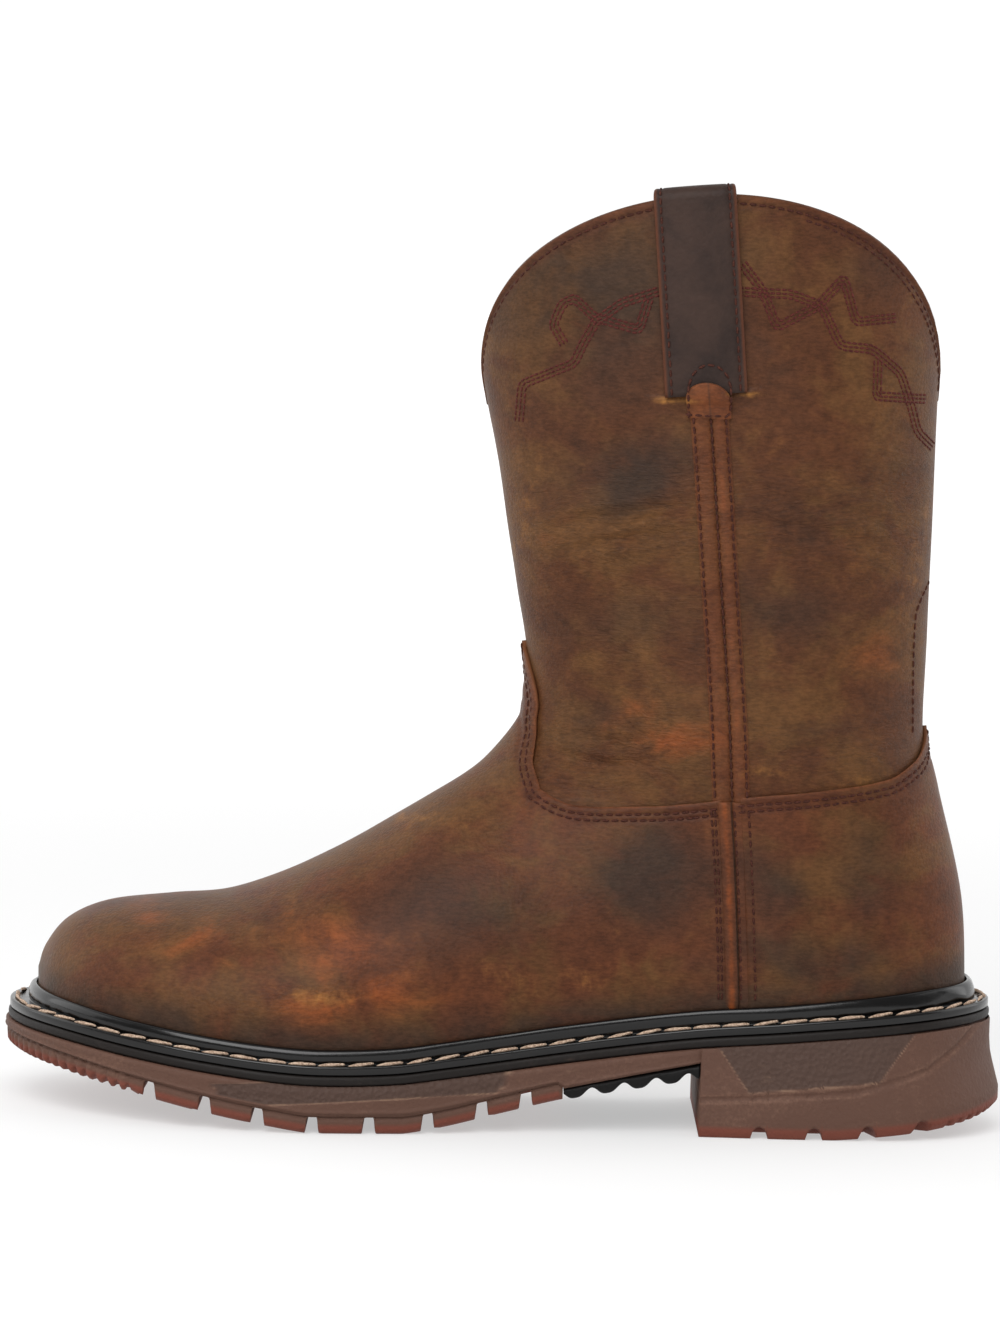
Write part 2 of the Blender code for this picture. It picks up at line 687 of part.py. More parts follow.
GROOVE = 1.8         # half width of a groove between lugs
GROOVES_AT = (-107.8, -90.4, -74.0, -57.2, -39.8, -21.8, -5.3, 8.2)
cuts = []
for x in GROOVES_AT:
    middle = curve(SECTION_CURVES["end_y"], find(x, feather_z(x))[0])
    tilt = math.atan((tread(x + 4) - tread(x - 4)) / 8)
    for side in (OUTER, INNER):
        cuts.append((Vector((x, middle + side * 44.0, tread(x))), (GROOVE, 31.0, LUG - 0.4), 0.0, tilt))
for x, after in zip(GROOVES_AT, GROOVES_AT[1:]):
    x = (x + after) / 2
    tilt = math.atan((tread(x + 4) - tread(x - 4)) / 8)
    cuts.append((Vector((x, -1.0, tread(x))), (GROOVE * 0.8, 15.0, LUG - 1.4), 0.0, tilt))
for a in spread(0.2, turn_at(-120.0), 4):
    for side in (OUTER, INNER):
        p = rim(a, side, reach(rim(a, side, 0).x))
        inside = rim(a, side, 0)
        heading = math.atan2(p.y - inside.y, p.x - inside.x)
        cuts.append((Vector((p.x, p.y, tread(p.x))), (8.0, 0.9, 3.2), heading, 0.0))
for x in (80.0, 96.5, 113.0, 130.0):
    for side in (OUTER, INNER):
        a = turn_at(x)
        p = rim(a, side, reach(x) + 1.0)
        inside = rim(a, side, 0)
        heading = math.atan2(p.y - inside.y, p.x - inside.x)
        cuts.append((Vector((p.x, p.y, heel_ground(p.x))), (10.0, 1.5, 4.6), heading, 0.0))
for angle in (-0.9, -0.5, -0.1, 0.3, 0.7):
    p = Vector((112.0 + 42.0 * math.cos(angle), 36.0 * math.sin(angle), 0.0))
    cuts.append((Vector((p.x, p.y, heel_ground(p.x))), (8.0, 1.1, 3.6), angle, 0.0))
boolean(outsole, boxes("grooves", cuts), "DIFFERENCE")

# Ribbed insert under the arch
SHANK_FRONT = 3.1    # its depth at both ends
SHANK_BACK = 4.2
shank_turns = spread(turn_at(TREAD_END + GAP), turn_at(BREAST - GAP), 6)


def shank_top(x):
    return arch(x) - GAP - 0.012 * (x - TREAD_END)


def shank_under(x):
    share = (x - TREAD_END) / (BREAST - TREAD_END)
    return shank_top(x) - SHANK_FRONT - (SHANK_BACK - SHANK_FRONT) * share


shank_levels = [edge(lambda x, d=d: reach(x) + d, between(shank_top, shank_under, share), shank_turns,
                     start=TREAD_END + GAP, end=BREAST - GAP)
                for share, d in ((0.0, 0.2), (0.8, 0.2), (1.0, -0.6))]
shank = paint(stack("shank_plate", shank_levels, PARTS), "shank_plate")
notches = []
for x in spread(TREAD_END + 6.0, BREAST - 6.0, 4):
    tilt = math.atan2(ARCH_BACK - ARCH_FRONT, BREAST - TREAD_END)
    notches.append((Vector((x, 0.0, shank_under(x))), (1.7, 70.0, 1.9), 0.0, tilt))
boolean(shank, boxes("shank_notches", notches), "DIFFERENCE")


def midsole_under(x):
    return sole("top", x) + GAP


midsole_levels = [edge(lambda x, d=d: reach(x) + d, between(midsole_under, midsole_top, share), STATIONS)
                  for share, d in ((0.0, 0.2), (0.5, 0.4), (1.0, 0.2))]
paint(stack("midsole", midsole_levels, PARTS), "midsole")


def inner_level(lift, height):
    # A level around the upper at a height, standing lift away from its face
    front = SECTIONS[0][2]
    low, high = float(HEEL_ROW), float(HEEL_ROW + 3)
    for _ in range(40):
        s = (low + high) / 2
        if curve(BACK_Z, s) < height(curve(BACK_X, s)):
            low = s
        else:
            high = s
    back = curve(BACK_X, s)
    level = []
    for side in (OUTER, INNER):
        row = []
        for a in STATIONS:
            x = (front + back) / 2 - math.cos(a) * (back - front) / 2
            place = find(x, height(x))
            if a <= 0.0:
                place = (0.0, place[1])
            if a >= math.pi:
                place = (low, 1.0)
            row.append(lifted(place[0], place[1], side, lift + HEEL_EASE * back_share(x)))
        for p, a in zip(row, STATIONS):
            p.z = height(p.x)
        level.append(row)
    return level


def welt_under(x):
    return midsole_top(x) + GAP


WELT_CLEAR = GAP + PANEL + 0.9
HEEL_EASE = 0.6      # more room round the heel's tight curve
BEAD = 3.4           # thickness of the bead
welt_levels = [inner_level(WELT_CLEAR, between(lambda x: feather_z(x) + 0.2, bead_top, share))
               for share in (0.0, 0.5, 0.85)]
for level in welt_levels[:1]:
    for row in level:
        for p in row:
            p.z = welt_under(p.x)
welt_levels.append(inner_level(WELT_CLEAR + 0.8, bead_top))
welt_levels.append(inner_level(WELT_CLEAR + BEAD * 0.75, lambda x: bead_top(x) - 0.4))
welt_levels.append(inner_level(WELT_CLEAR + BEAD, lambda x: bead_top(x) - 1.8))
welt_levels.append(inner_level(WELT_CLEAR + BEAD * 0.9, lambda x: ledge(x) + 0.3))
welt_levels.append(edge(lambda x: reach(x) - 0.4, ledge, STATIONS))
welt_levels.append(edge(reach, lambda x: ledge(x) - 0.5, STATIONS))
welt_levels.append(edge(reach, welt_under, STATIONS))
paint(ring("welt", welt_levels, PARTS), "welt")


def insole_top(x):
    return welt_under(x) + INSOLE


insole_levels = [edge(-WALL - 1.8, between(welt_under, insole_top, share), STATIONS) for share in (0.0, 1.0)]
paint(stack("insole", insole_levels, PARTS), "insole")

# Seam strips: z, half width, height; a wider tab at the top, a narrow piping below the vamp's edge
SEAM_ROWS = ((229.3, 6.4, 1.3), (224.2, 6.4, 1.3), (223.4, 4.7, 1.1), (200.0, 4.7, 1.1), (176.0, 4.7, 1.1),
             (152.0, 4.7, 1.1), (130.0, 4.7, 1.1), (113.0, 4.7, 1.1), (110.6, 4.7, 1.2), (107.6, 2.0, 2.3),
             (96.0, 2.0, 2.4), (80.0, 2.0, 2.4), (64.0, 2.0, 2.4), (50.5, 2.0, 2.2))
ACROSS = ((-1.0, 0.55), (-0.8, 1.0), (0.0, 0.9), (0.8, 1.0), (1.0, 0.55))


def seam(name, side):
    under, over = [], []
    for z, half, high in SEAM_ROWS:
        under.append([on_skin(seam_x(z) + half * u, z, side, GAP) for u, _ in ACROSS])
        over.append([on_skin(seam_x(z) + half * u, z, side, GAP + high * h) for u, h in ACROSS])
    return paint(slab(name, under, over, PARTS), "side_seam")


# Pull straps: legs outside and inside, over the collar
STRAP = 1.8          # thickness
STRAP_HALF = 12.4    # half width
STRAP_FOOT = 230.6
STRAP_HIGH = 288.0
STRAP_CROWN = 0.8    # clearance over the collar


def collar_z(x):
    low, high = 200.0, 300.0
    for _ in range(30):
        z = (low + high) / 2
        s, t = find(x, z)
        if s < collar_end(t):
            low = z
        else:
            high = z
    return z


def strap_middle(z):
    return 56.4 - (z - 231.0) * 0.092


def strap(name, side, shift):
    # shift moves the strap along the collar
    heights = spread(STRAP_FOOT, STRAP_HIGH - 6.0, 5)
    columns = spread(-STRAP_HALF, STRAP_HALF, 4)
    top = max(collar_z(strap_middle(290.0) + shift + u) - 0.1 * u for u in columns)

    def crown(lift, z):
        return [on_skin(strap_middle(z) + shift + u, z + 0.1 * u, side, lift) for u in columns]

    def leg(lift):
        return [crown(lift, z) for z in heights]

    out, back = GAP + 0.4, -WALL - GAP - 0.9
    high = top + STRAP_CROWN
    under = leg(out) + [crown(out, top - 1.0), crown(out - 0.6, high)]
    under += [crown(back + 0.6, high), crown(back, top - 1.0)] + leg(back)[::-1]
    over = leg(out + STRAP) + [crown(out + STRAP, top - 1.0), crown(out + STRAP * 0.5, high + STRAP)]
    over += [crown(back - STRAP * 0.5, high + STRAP), crown(back - STRAP, top - 1.0)]
    over += leg(back - STRAP)[::-1]
    return paint(slab(name, under, over, PARTS), "pull_strap")


seam("side_seam_outer", OUTER)
seam("side_seam_inner", INNER)
strap("pull_strap_outer", OUTER, 0.0)
strap("pull_strap_inner", INNER, 3.0)
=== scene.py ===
# A left roper boot in oiled leather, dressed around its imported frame.
# Tables are in millimetres, meshes in metres. Toe towards -X, outer side of the foot towards -Y.
import math

import bmesh
import bpy
import numpy as np
from mathutils import Matrix, Vector

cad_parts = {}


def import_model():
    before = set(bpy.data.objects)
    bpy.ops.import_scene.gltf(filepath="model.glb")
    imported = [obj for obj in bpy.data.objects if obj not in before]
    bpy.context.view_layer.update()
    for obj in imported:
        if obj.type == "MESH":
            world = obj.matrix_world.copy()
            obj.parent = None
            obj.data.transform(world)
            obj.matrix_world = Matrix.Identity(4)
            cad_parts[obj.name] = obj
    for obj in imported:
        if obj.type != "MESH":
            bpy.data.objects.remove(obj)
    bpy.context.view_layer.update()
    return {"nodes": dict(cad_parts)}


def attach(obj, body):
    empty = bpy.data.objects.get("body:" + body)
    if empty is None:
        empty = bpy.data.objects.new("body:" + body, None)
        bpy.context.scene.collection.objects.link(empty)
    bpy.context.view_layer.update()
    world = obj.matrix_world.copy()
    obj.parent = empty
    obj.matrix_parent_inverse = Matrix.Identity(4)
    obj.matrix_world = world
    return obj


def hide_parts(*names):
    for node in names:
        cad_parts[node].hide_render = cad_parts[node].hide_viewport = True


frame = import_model()
print("frame:", len(frame["nodes"]), "nodes")

mm = 0.001
seat = np.array((0.0, 1.0, -1.0))      # from the tables to the floor that the boot stands on
outerSide, innerSide = -1, 1
bothSides = (outerSide, innerSide)

# The last, a row for each section from toe to collar. The ridge lies in front, the end on the feather edge
# or up the back.
lastShape = {
    "columns": ("ridgeX", "ridgeZ", "endX", "endZ", "feather", "half", "ridgeY", "endY", "top", "foot"),
    "rows": (
        (-146.2, 41.0, -146.0, 0, 0.0, 0.0, 8.5, 8.5, 0.85, 0.75),
        (-143.8, 48.2, -144.2, 0, 12.0, 13.0, 8.2, 8.0, 0.85, 0.75),
        (-137.5, 56.0, -138.0, 0, 24.5, 26.3, 7.0, 6.8, 0.85, 0.75),
        (-125.5, 61.4, -126.5, 0, 35.5, 37.5, 5.5, 4.8, 0.87, 0.75),
        (-106.0, 64.3, -108.0, 0, 43.5, 45.8, 4.0, 2.0, 0.92, 0.75),
        (-86.8, 66.8, -87.0, 0, 47.3, 49.8, 3.0, -0.2, 0.98, 0.75),
        (-66.0, 74.8, -63.0, 0, 46.4, 49.8, 2.5, -2.8, 1.02, 0.75),
        (-45.0, 86.2, -34.0, 0, 40.8, 46.6, 2.0, -4.6, 1.04, 0.75),
        (-24.0, 99.4, 2.0, 0, 33.0, 42.5, 1.5, -5.0, 1.04, 0.75),
        (-8.0, 110.6, 46.0, 0, 29.6, 39.0, 1.2, -3.0, 1.02, 0.75),
        (2.6, 123.5, 92.0, 0, 31.0, 37.2, 1.0, -0.6, 1.0, 0.75),
        (4.6, 131.0, 122.0, 0, 27.2, 36.6, 0.8, 0.0, 1.0, 0.76),
        (5.1, 137.0, 138.3, 0, 15.8, 36.4, 0.6, 0.0, 1.0, 0.78),
        (4.9, 143.0, 144.6, 0, 0.0, 36.3, 0.5, 0.0, 1.0, 0.8),
        (3.2, 153.8, 142.2, 74.0, 0.0, 36.6, 0.4, 0.0, 0.98, 0.82),
        (0.9, 165.0, 133.7, 108.0, 0.0, 37.1, 0.2, 0.0, 0.96, 0.86),
        (-0.9, 175.5, 129.8, 126.0, 0.0, 37.8, 0.0, 0.0, 0.94, 0.9),
        (-3.3, 189.0, 130.1, 158.0, 0.0, 38.8, 0.0, 0.0, 0.93, 0.92),
        (-6.5, 207.0, 130.3, 196.0, 0.0, 40.1, 0.0, 0.0, 0.92, 0.92),
        (-10.7, 226.0, 130.5, 228.0, 0.0, 41.4, 0.0, 0.0, 0.92, 0.92),
        (-13.4, 240.0, 131.0, 243.0, 0.0, 42.0, 0.0, 0.0, 0.92, 0.92),
        (-15.0, 265.0, 131.5, 268.0, 0.0, 42.8, 0.0, 0.0, 0.92, 0.92),
        (-15.5, 300.0, 131.5, 303.0, 0.0, 43.5, 0.0, 0.0, 0.92, 0.92),
    ),
    "heelRow": 13,
}

# Heights along the sole: top of the outsole, tread, how far the edge stands out, height of the bead
soleShape = {
    "columns": ("x", "top", "tread", "reach", "bead"),
    "rows": (
        (-158.0, 26.0, 18.0, 12.2, 5.6), (-137.0, 24.4, 15.0, 9.2, 5.2), (-116.0, 21.6, 11.0, 7.8, 4.8),
        (-90.0, 18.4, 6.0, 7.4, 4.6), (-70.0, 16.4, 2.7, 7.4, 4.6), (-55.0, 15.6, 0.7, 7.4, 4.6),
        (-33.0, 16.1, 0.7, 7.4, 4.8), (-18.0, 17.8, 2.9, 7.4, 5.0), (0.0, 20.2, 7.2, 7.4, 5.2),
        (19.5, 23.0, 11.9, 7.4, 5.4), (60.0, 28.3, 20.0, 7.4, 5.4), (86.0, 30.6, 24.0, 7.5, 5.2),
        (111.0, 32.9, 26.0, 7.8, 5.6), (134.0, 35.0, 28.0, 8.7, 6.0), (158.0, 36.6, 30.0, 9.6, 6.4),
    ),
    "gap": 0.3, "midsole": 2.8, "welt": 2.9, "floor": 1.0,
    "treadEnd": 19.5, "breast": 62.0, "archFront": 15.4, "archBack": 24.1, "lugDepth": 5.6,
    "heelPlate": 4.2,                   # how thick the plate is over the heel
    "heelGround": ((61.0, 0.7), (84.0, 0.7), (102.0, 0.9), (116.0, 2.0), (132.0, 3.8), (146.0, 6.2),
                   (158.0, 9.4)),
}


def smooth(rows, at):
    # curve through (place, value) rows, straight past both ends
    table = np.array(rows, float)
    x, v = table[:, 0], table[:, 1]
    slope = np.empty(len(x))
    slope[1:-1] = (v[2:] - v[:-2]) / (x[2:] - x[:-2])
    slope[0] = (v[1] - v[0]) / (x[1] - x[0])
    slope[-1] = (v[-1] - v[-2]) / (x[-1] - x[-2])
    at = np.asarray(at, float)
    i = np.clip(np.searchsorted(x, at) - 1, 0, len(x) - 2)
    w = x[i + 1] - x[i]
    u = np.clip((at - x[i]) / w, 0.0, 1.0)
    near = (2 * u - 3) * u * u
    inside = (1 + near) * v[i] - near * v[i + 1] + w * u * (u - 1) * ((u - 1) * slope[i] + u * slope[i + 1])
    return inside + slope[0] * np.minimum(at - x[0], 0.0) + slope[-1] * np.maximum(at - x[-1], 0.0)


def step(low, high, value):
    u = np.clip((np.asarray(value, float) - low) / (high - low), 0.0, 1.0)
    return u * u * (3 - 2 * u)


def bisect(low, high, before, turns=36):
    # place between low and high where before() stops being true, for whole arrays
    for _ in range(turns):
        middle = (low + high) / 2
        on = before(middle)
        low = np.where(on, middle, low)
        high = np.where(on, high, middle)
    return (low + high) / 2


heelRow = lastShape["heelRow"]
topRow = float(len(lastShape["rows"]) - 1)
lastRows = np.array(lastShape["rows"], float)
lastCurve = {name: np.stack((np.arange(len(lastRows)), lastRows[:, k]), 1)
             for k, name in enumerate(lastShape["columns"])}
soleRows = np.array(soleShape["rows"], float)
soleCurve = {name: soleRows[:, (0, k)] for k, name in enumerate(soleShape["columns"])}


def rounded(rows, sign):
    # the rows' mirror image past both ends, which rounds toe and heel in plan
    return np.vstack(((-1, sign * rows[1][1]), rows, (rows[-1][0] + 1, sign * rows[-2][1])))


lastCurve["half"] = np.vstack(((-1, -lastRows[1][5]), lastCurve["half"]))
featherEnd = rounded(lastCurve["endX"][:heelRow + 1], 1)
featherHalf = rounded(lastCurve["feather"][:heelRow + 1], -1)


def soleAt(name, x):
    return smooth(soleCurve[name], x)


def midsoleTop(x):
    return soleAt("top", x) + soleShape["gap"] + soleShape["midsole"]


def weltUnder(x):
    return midsoleTop(x) + soleShape["gap"]


def featherZ(x):
    return weltUnder(x) + 0.8


def ledge(x):
    return weltUnder(x) + soleShape["welt"]


def beadTop(x):
    return ledge(x) + soleAt("bead", x)


backX = lastCurve["endX"][heelRow:].copy()
backZ = lastCurve["endZ"][heelRow:].copy()
backZ[0, 1] = featherZ(backX[0, 1])


def chord(s):
    heel = s >= heelRow
    x = np.where(heel, smooth(backX, s), smooth(featherEnd, s))
    z = np.where(heel, smooth(backZ, s), featherZ(x))
    return smooth(lastCurve["ridgeX"], s), smooth(lastCurve["ridgeZ"], s), x, z


def fullness(s):
    half = np.maximum(smooth(lastCurve["half"], s), 0.001)
    feather = np.where(s < heelRow, np.maximum(smooth(featherHalf, s), 0.0), 0.0)
    foot = smooth(lastCurve["foot"], s)
    turn = math.pi - np.arcsin(np.minimum(feather / half, 0.999) ** (1 / foot))
    return half, turn, smooth(lastCurve["top"], s), foot


def skin(s, t, side):
    # outer face of the last: s over the sections, t from the ridge (0) to the end (1)
    s, t = np.broadcast_arrays(np.asarray(s, float), np.asarray(t, float))
    s = np.maximum(s, 0.001)
    rx, rz, ex, ez = chord(s)
    half, turn, top, foot = fullness(s)
    angle = turn * t
    share = (1 - np.cos(angle)) / (1 - np.cos(turn))
    power = top + (foot - top) * share
    middle = smooth(lastCurve["ridgeY"], s) * (1 - share) + smooth(lastCurve["endY"], s) * share
    wide = half * np.maximum(np.sin(angle), 0.0) ** power
    wide = np.where((s <= 0.001) | (t <= 0.0) | ((t >= 1.0) & (s >= heelRow)), 0.0, wide)
    return np.stack((rx + (ex - rx) * share, middle + side * wide, rz + (ez - rz) * share), -1)


def facing(s, t, side):
    # outward direction, level across on the lines where both sides meet
    s, t = np.broadcast_arrays(np.asarray(s, float), np.asarray(t, float))
    met = (s <= 0.001) | (t <= 0.0) | ((t >= 1.0) & (s >= heelRow))
    s = np.clip(s, 0.15, topRow - 0.05)
    t = np.clip(t, 0.03, 0.97)
    along = skin(s + 0.05, t, side) - skin(s - 0.05, t, side)
    down = skin(s, t + 0.02, side) - skin(s, t - 0.02, side)
    n = np.cross(along, down) * side
    n[..., 1] = np.where(met, 0.0, n[..., 1])
    return n / np.linalg.norm(n, axis=-1, keepdims=True)


def lifted(s, t, side, lift):
    return skin(s, t, side) + facing(s, t, side) * np.asarray(lift, float)[..., None]


def find(x, z):
    # s and t that show at x, z in the side view
    x, z = np.broadcast_arrays(np.asarray(x, float), np.asarray(z, float))

    def before(s):
        rx, rz, ex, ez = chord(s)
        return (ex - rx) * (z - rz) - (ez - rz) * (x - rx) > 0

    s = bisect(np.zeros(x.shape), np.full(x.shape, topRow), before)
    rx, rz, ex, ez = chord(s)
    share = ((x - rx) * (ex - rx) + (z - rz) * (ez - rz)) / ((ex - rx) ** 2 + (ez - rz) ** 2)
    turn = fullness(s)[1]
    angle = np.arccos(np.maximum(1 - np.clip(share, 0.0, 1.0) * (1 - np.cos(turn)), -1.0))
    return s, angle / turn


# Edges of the panels. Tongue: places (s, t) on the last. Quarter, counter and seam: x, z in the side view.
panelEdges = {
    "tongue": ((9.6, 0.315), (9.78, 0.235), (10.5, 0.168), (11.6, 0.132), (12.5, 0.095), (13.25, 0.05),
               (13.72, 0.0)),
    "quarter": ((13.9, 103.4), (19.0, 101.7), (26.0, 101.3), (33.0, 101.75), (40.0, 102.35), (47.0, 103.0),
                (54.0, 103.85), (60.0, 104.75), (65.0, 105.65), (68.6, 106.4)),
    "peak": 13.52,
    "counter": ((80.3, 107.6), (91.0, 108.6), (102.0, 110.0), (112.5, 111.6), (119.5, 113.6), (125.0, 117.3),
                (128.6, 122.0), (130.0, 127.5)),
    "quarterEnds": (13.9, 67.8),
    "seam": ((48.0, 300.0), (56.9, 230.5), (62.0, 180.0), (66.8, 131.0), (68.6, 106.2), (70.4, 85.0),
             (72.9, 44.5), (73.4, 30.0)),
    "channel": 2.9,                     # half width between vamp and counter, where the piping lies
    "dipFront": 226.0, "dipBack": 231.5, "collarRise": 63.0, "collarFront": 0.74, "collarBack": 0.84,
}
seamRows = np.array(panelEdges["seam"])[::-1, ::-1]


def seamX(z):
    return smooth(seamRows, z)


def seamS(t, shift=0.0):
    t = np.asarray(t, float)

    def before(s):
        p = skin(s, t, outerSide)
        return p[..., 0] < seamX(p[..., 2]) + shift

    return bisect(np.full(t.shape, 4.0), np.full(t.shape, 17.0), before)


def seamT(s, shift=0.0):
    s = np.asarray(s, float)

    def before(t):
        p = skin(s, t, outerSide)
        return p[..., 0] < seamX(p[..., 2]) + shift

    return bisect(np.zeros(s.shape), np.ones(s.shape), before)


notch = float(seamS(1.0))
tip = panelEdges["tongue"][-1][0]
peak = panelEdges["peak"]
notchT = panelEdges["tongue"][0][1]
peakT = float(seamT(peak))
tongueRows = ((notch, notchT),) + panelEdges["tongue"][1:]
quarterX = np.linspace(*panelEdges["quarterEnds"], 70)
quarterPlaces = np.stack(find(quarterX, smooth(panelEdges["quarter"], quarterX)), 1)
quarterRows = np.vstack(((notch, notchT), quarterPlaces, (peak, peakT)))
counterS, counterT = find(*np.array(panelEdges["counter"]).T)
counterRows = np.vstack(((peakT, peak), np.stack((counterT, counterS), 1)[:-1], (1.0, counterS[-1])))


def tongueT(s):
    return np.where(s >= tip, 0.0, smooth(tongueRows, s))


def quarterT(s):
    return np.where(s >= peak, peakT, smooth(quarterRows, s))


def counterEnd(t):
    return smooth(counterRows, t)


def collarEnd(t):
    t = np.asarray(t, float)
    e = panelEdges

    def before(s):
        turn = fullness(s)[1]
        share = (1 - np.cos(turn * t)) / (1 - np.cos(turn))
        dip = e["dipFront"] + (e["dipBack"] - e["dipFront"]) * share
        shape = e["collarFront"] + (e["collarBack"] - e["collarFront"]) * share
        rise = e["collarRise"] * np.maximum(np.sin(turn * t), 0.0) ** shape
        return skin(s, t, outerSide)[..., 2] < dip + rise

    return bisect(np.full(t.shape, 17.0), np.full(t.shape, topRow), before)


print("last ready")


# Patches of the upper as arrays of (s, t), finer towards the edges that show
def crowded(count, low=1.0, high=1.0):
    # shares from 0 to 1, closer together towards 0 when low > 1 and towards 1 when high > 1
    u = np.linspace(0.0, 1.0, count + 1)
    return (u ** low) / (u ** low + (1 - u) ** high)


def footPatch(rows, tongueShares, quarterShares, footS, bottom):
    # toe to the notch; the last row runs from the notch to the foot of the seam
    t = np.concatenate((notchT * tongueShares, notchT + (bottom - notchT) * quarterShares[1:]))
    end = notch + (footS - notch) * np.clip((t - notchT) / (bottom - notchT), 0.0, 1.0)
    return end * crowded(rows, 1.15, 1.0)[:, None], np.repeat(t[None, :], rows + 1, 0)


def tonguePatch(rowShares, shares):
    s = notch + (tip - notch) * rowShares
    return np.repeat(s[:, None], len(shares), 1), tongueT(s)[:, None] * shares


def quarterPatch(rowShares, shares, footS, lastS, bottom, shift):
    # vamp edge to the side seam, or to a line beside it
    startS = notch + (lastS - notch) * rowShares
    startT = quarterT(startS)
    endS = footS + (lastS - footS) * rowShares
    endT = np.minimum(seamT(endS, shift), bottom)
    endT = np.where(rowShares <= 0.0, bottom, np.where(rowShares >= 1.0, startT, endT))
    s = startS[:, None] + (endS - startS)[:, None] * shares
    return s, startT[:, None] + (endT - startT)[:, None] * shares


def counterPatch(startS, startT, topT, lowShares, highShares):
    # side seam to the counter's top line; the middle row ends at the foot of the heel
    endS = counterEnd(topT)
    split = (heelRow - startS[-1]) / (endS[-1] - startS[-1])
    u = np.concatenate((split * lowShares, split + (1 - split) * highShares[1:]))[:, None]
    s = startS + (endS - startS) * u
    s[len(lowShares) - 1, -1] = heelRow
    return s, startT + (topT - startT) * np.minimum(u / split, 1.0)


def frontPatch(rowShares, shares):
    # shaft between the tongue and the vamp's edge
    a, b = notch + (tip - notch) * rowShares, notch + (peak - notch) * rowShares
    start, end = tongueT(a), quarterT(b)
    return a[:, None] + (b - a)[:, None] * shares, start[:, None] + (end - start)[:, None] * shares


def shaftPatch(shares, frontShares, topT):
    t = np.concatenate((peakT * frontShares, topT[1:]))
    start = np.where(t <= peakT, tip + (peak - tip) * t / peakT, counterEnd(t))
    end = collarEnd(t)
    return start + (end - start) * shares[:, None], np.repeat(t[None, :], len(shares), 0)


def evened(t, last):
    # t values down a seam, made to grow steadily from the first to last
    u = np.maximum.accumulate((t - t[0]) / (t[-1] - t[0]))
    return t[0] + (last - t[0]) * (0.7 * u + 0.3 * np.linspace(0.0, 1.0, len(t)))


def sheetOf(name, patches):
    # one mesh of the patches on both sides, wound to face out, with s, t and side kept on its points
    points, faces, marks = [], [], []
    for side in bothSides:
        for s, t in patches:
            base = sum(len(p) for p in points)
            rows, cols = s.shape
            points.append(skin(s, t, side).reshape(-1, 3))
            marks.append(np.stack((s.ravel(), t.ravel(), np.full(s.size, float(side))), 1))
            grid = base + np.arange(rows * cols).reshape(rows, cols)
            a, b, c, d = grid[:-1, :-1], grid[:-1, 1:], grid[1:, 1:], grid[1:, :-1]
            order = (a, b, c, d) if side < 0 else (a, d, c, b)
            faces.append(np.stack(order, -1).reshape(-1, 4))
    mesh = meshOf(name, np.concatenate(points), np.concatenate(faces))
    for key, values in zip(("sectionAt", "acrossAt", "sideAt"), np.concatenate(marks).T):
        setNumbers(mesh, key, values)
    return cleaned(mesh, 0.00003)


def meshOf(name, points, faces):
    mesh = bpy.data.meshes.new(name)
    mesh.from_pydata((np.asarray(points) + seat) * mm, [], np.asarray(faces).tolist())
    mesh.update()
    return mesh


def cleaned(mesh, merge=0.00002, sliver=0.00002):
    # points that meet joined, and faces with no area taken out
    bm = bmesh.new()
    bm.from_mesh(mesh)
    bmesh.ops.remove_doubles(bm, verts=bm.verts, dist=merge)
    bmesh.ops.dissolve_degenerate(bm, edges=bm.edges, dist=sliver)
    bm.to_mesh(mesh)
    bm.free()
    return mesh


def gathered(name, meshes, marks=()):
    # several meshes as one; marks names those that a mesh without them gets as zeros
    bm = bmesh.new()
    for mesh in meshes:
        for key in marks:
            if key not in mesh.attributes:
                setNumbers(mesh, key, np.zeros(len(mesh.vertices)))
        bm.from_mesh(mesh)
    whole = bpy.data.meshes.new(name)
    bm.to_mesh(whole)
    bm.free()
    return whole


def numbersOf(mesh, key):
    found = np.zeros(len(mesh.vertices), np.float32)
    mesh.attributes[key].data.foreach_get("value", found)
    return found.astype(float)


def placesOf(mesh):
    found = np.zeros(len(mesh.vertices) * 3, np.float32)
    mesh.vertices.foreach_get("co", found)
    return found.reshape(-1, 3).astype(float) / mm - seat


def normalsOf(mesh):
    found = np.zeros(len(mesh.vertices) * 3, np.float32)
    mesh.vertex_normals.foreach_get("vector", found)
    return found.reshape(-1, 3).astype(float)


def setPlaces(mesh, points):
    mesh.vertices.foreach_set("co", ((points + seat) * mm).astype(np.float32).ravel())
    mesh.update()


def setNumbers(mesh, key, values):
    if key not in mesh.attributes:
        mesh.attributes.new(key, "FLOAT", "POINT")
    mesh.attributes[key].data.foreach_set("value", np.asarray(values, np.float32))


def addObject(name, mesh, smoothShade=True):
    made = bpy.data.objects.new(name, mesh)
    bpy.context.scene.collection.objects.link(made)
    if smoothShade:
        mesh.polygons.foreach_set("use_smooth", np.ones(len(mesh.polygons), bool))
    return made


def settle(made):
    # the evaluated shape as a plain mesh, with no modifiers left
    view = bpy.context.evaluated_depsgraph_get()
    mesh = bpy.data.meshes.new_from_object(made.evaluated_get(view), preserve_all_data_layers=True,
                                           depsgraph=view)
    made.modifiers.clear()
    made.data = mesh
    mesh.name = made.name
    return made


def wear(made, slot, *stoodFor):
    # the finished piece rides on the boot, in place of its CAD nodes
    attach(made, "root")
    if stoodFor:
        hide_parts(*stoodFor)
    print(made.name, sum(len(f.vertices) - 2 for f in made.data.polygons), "triangles")
    return made


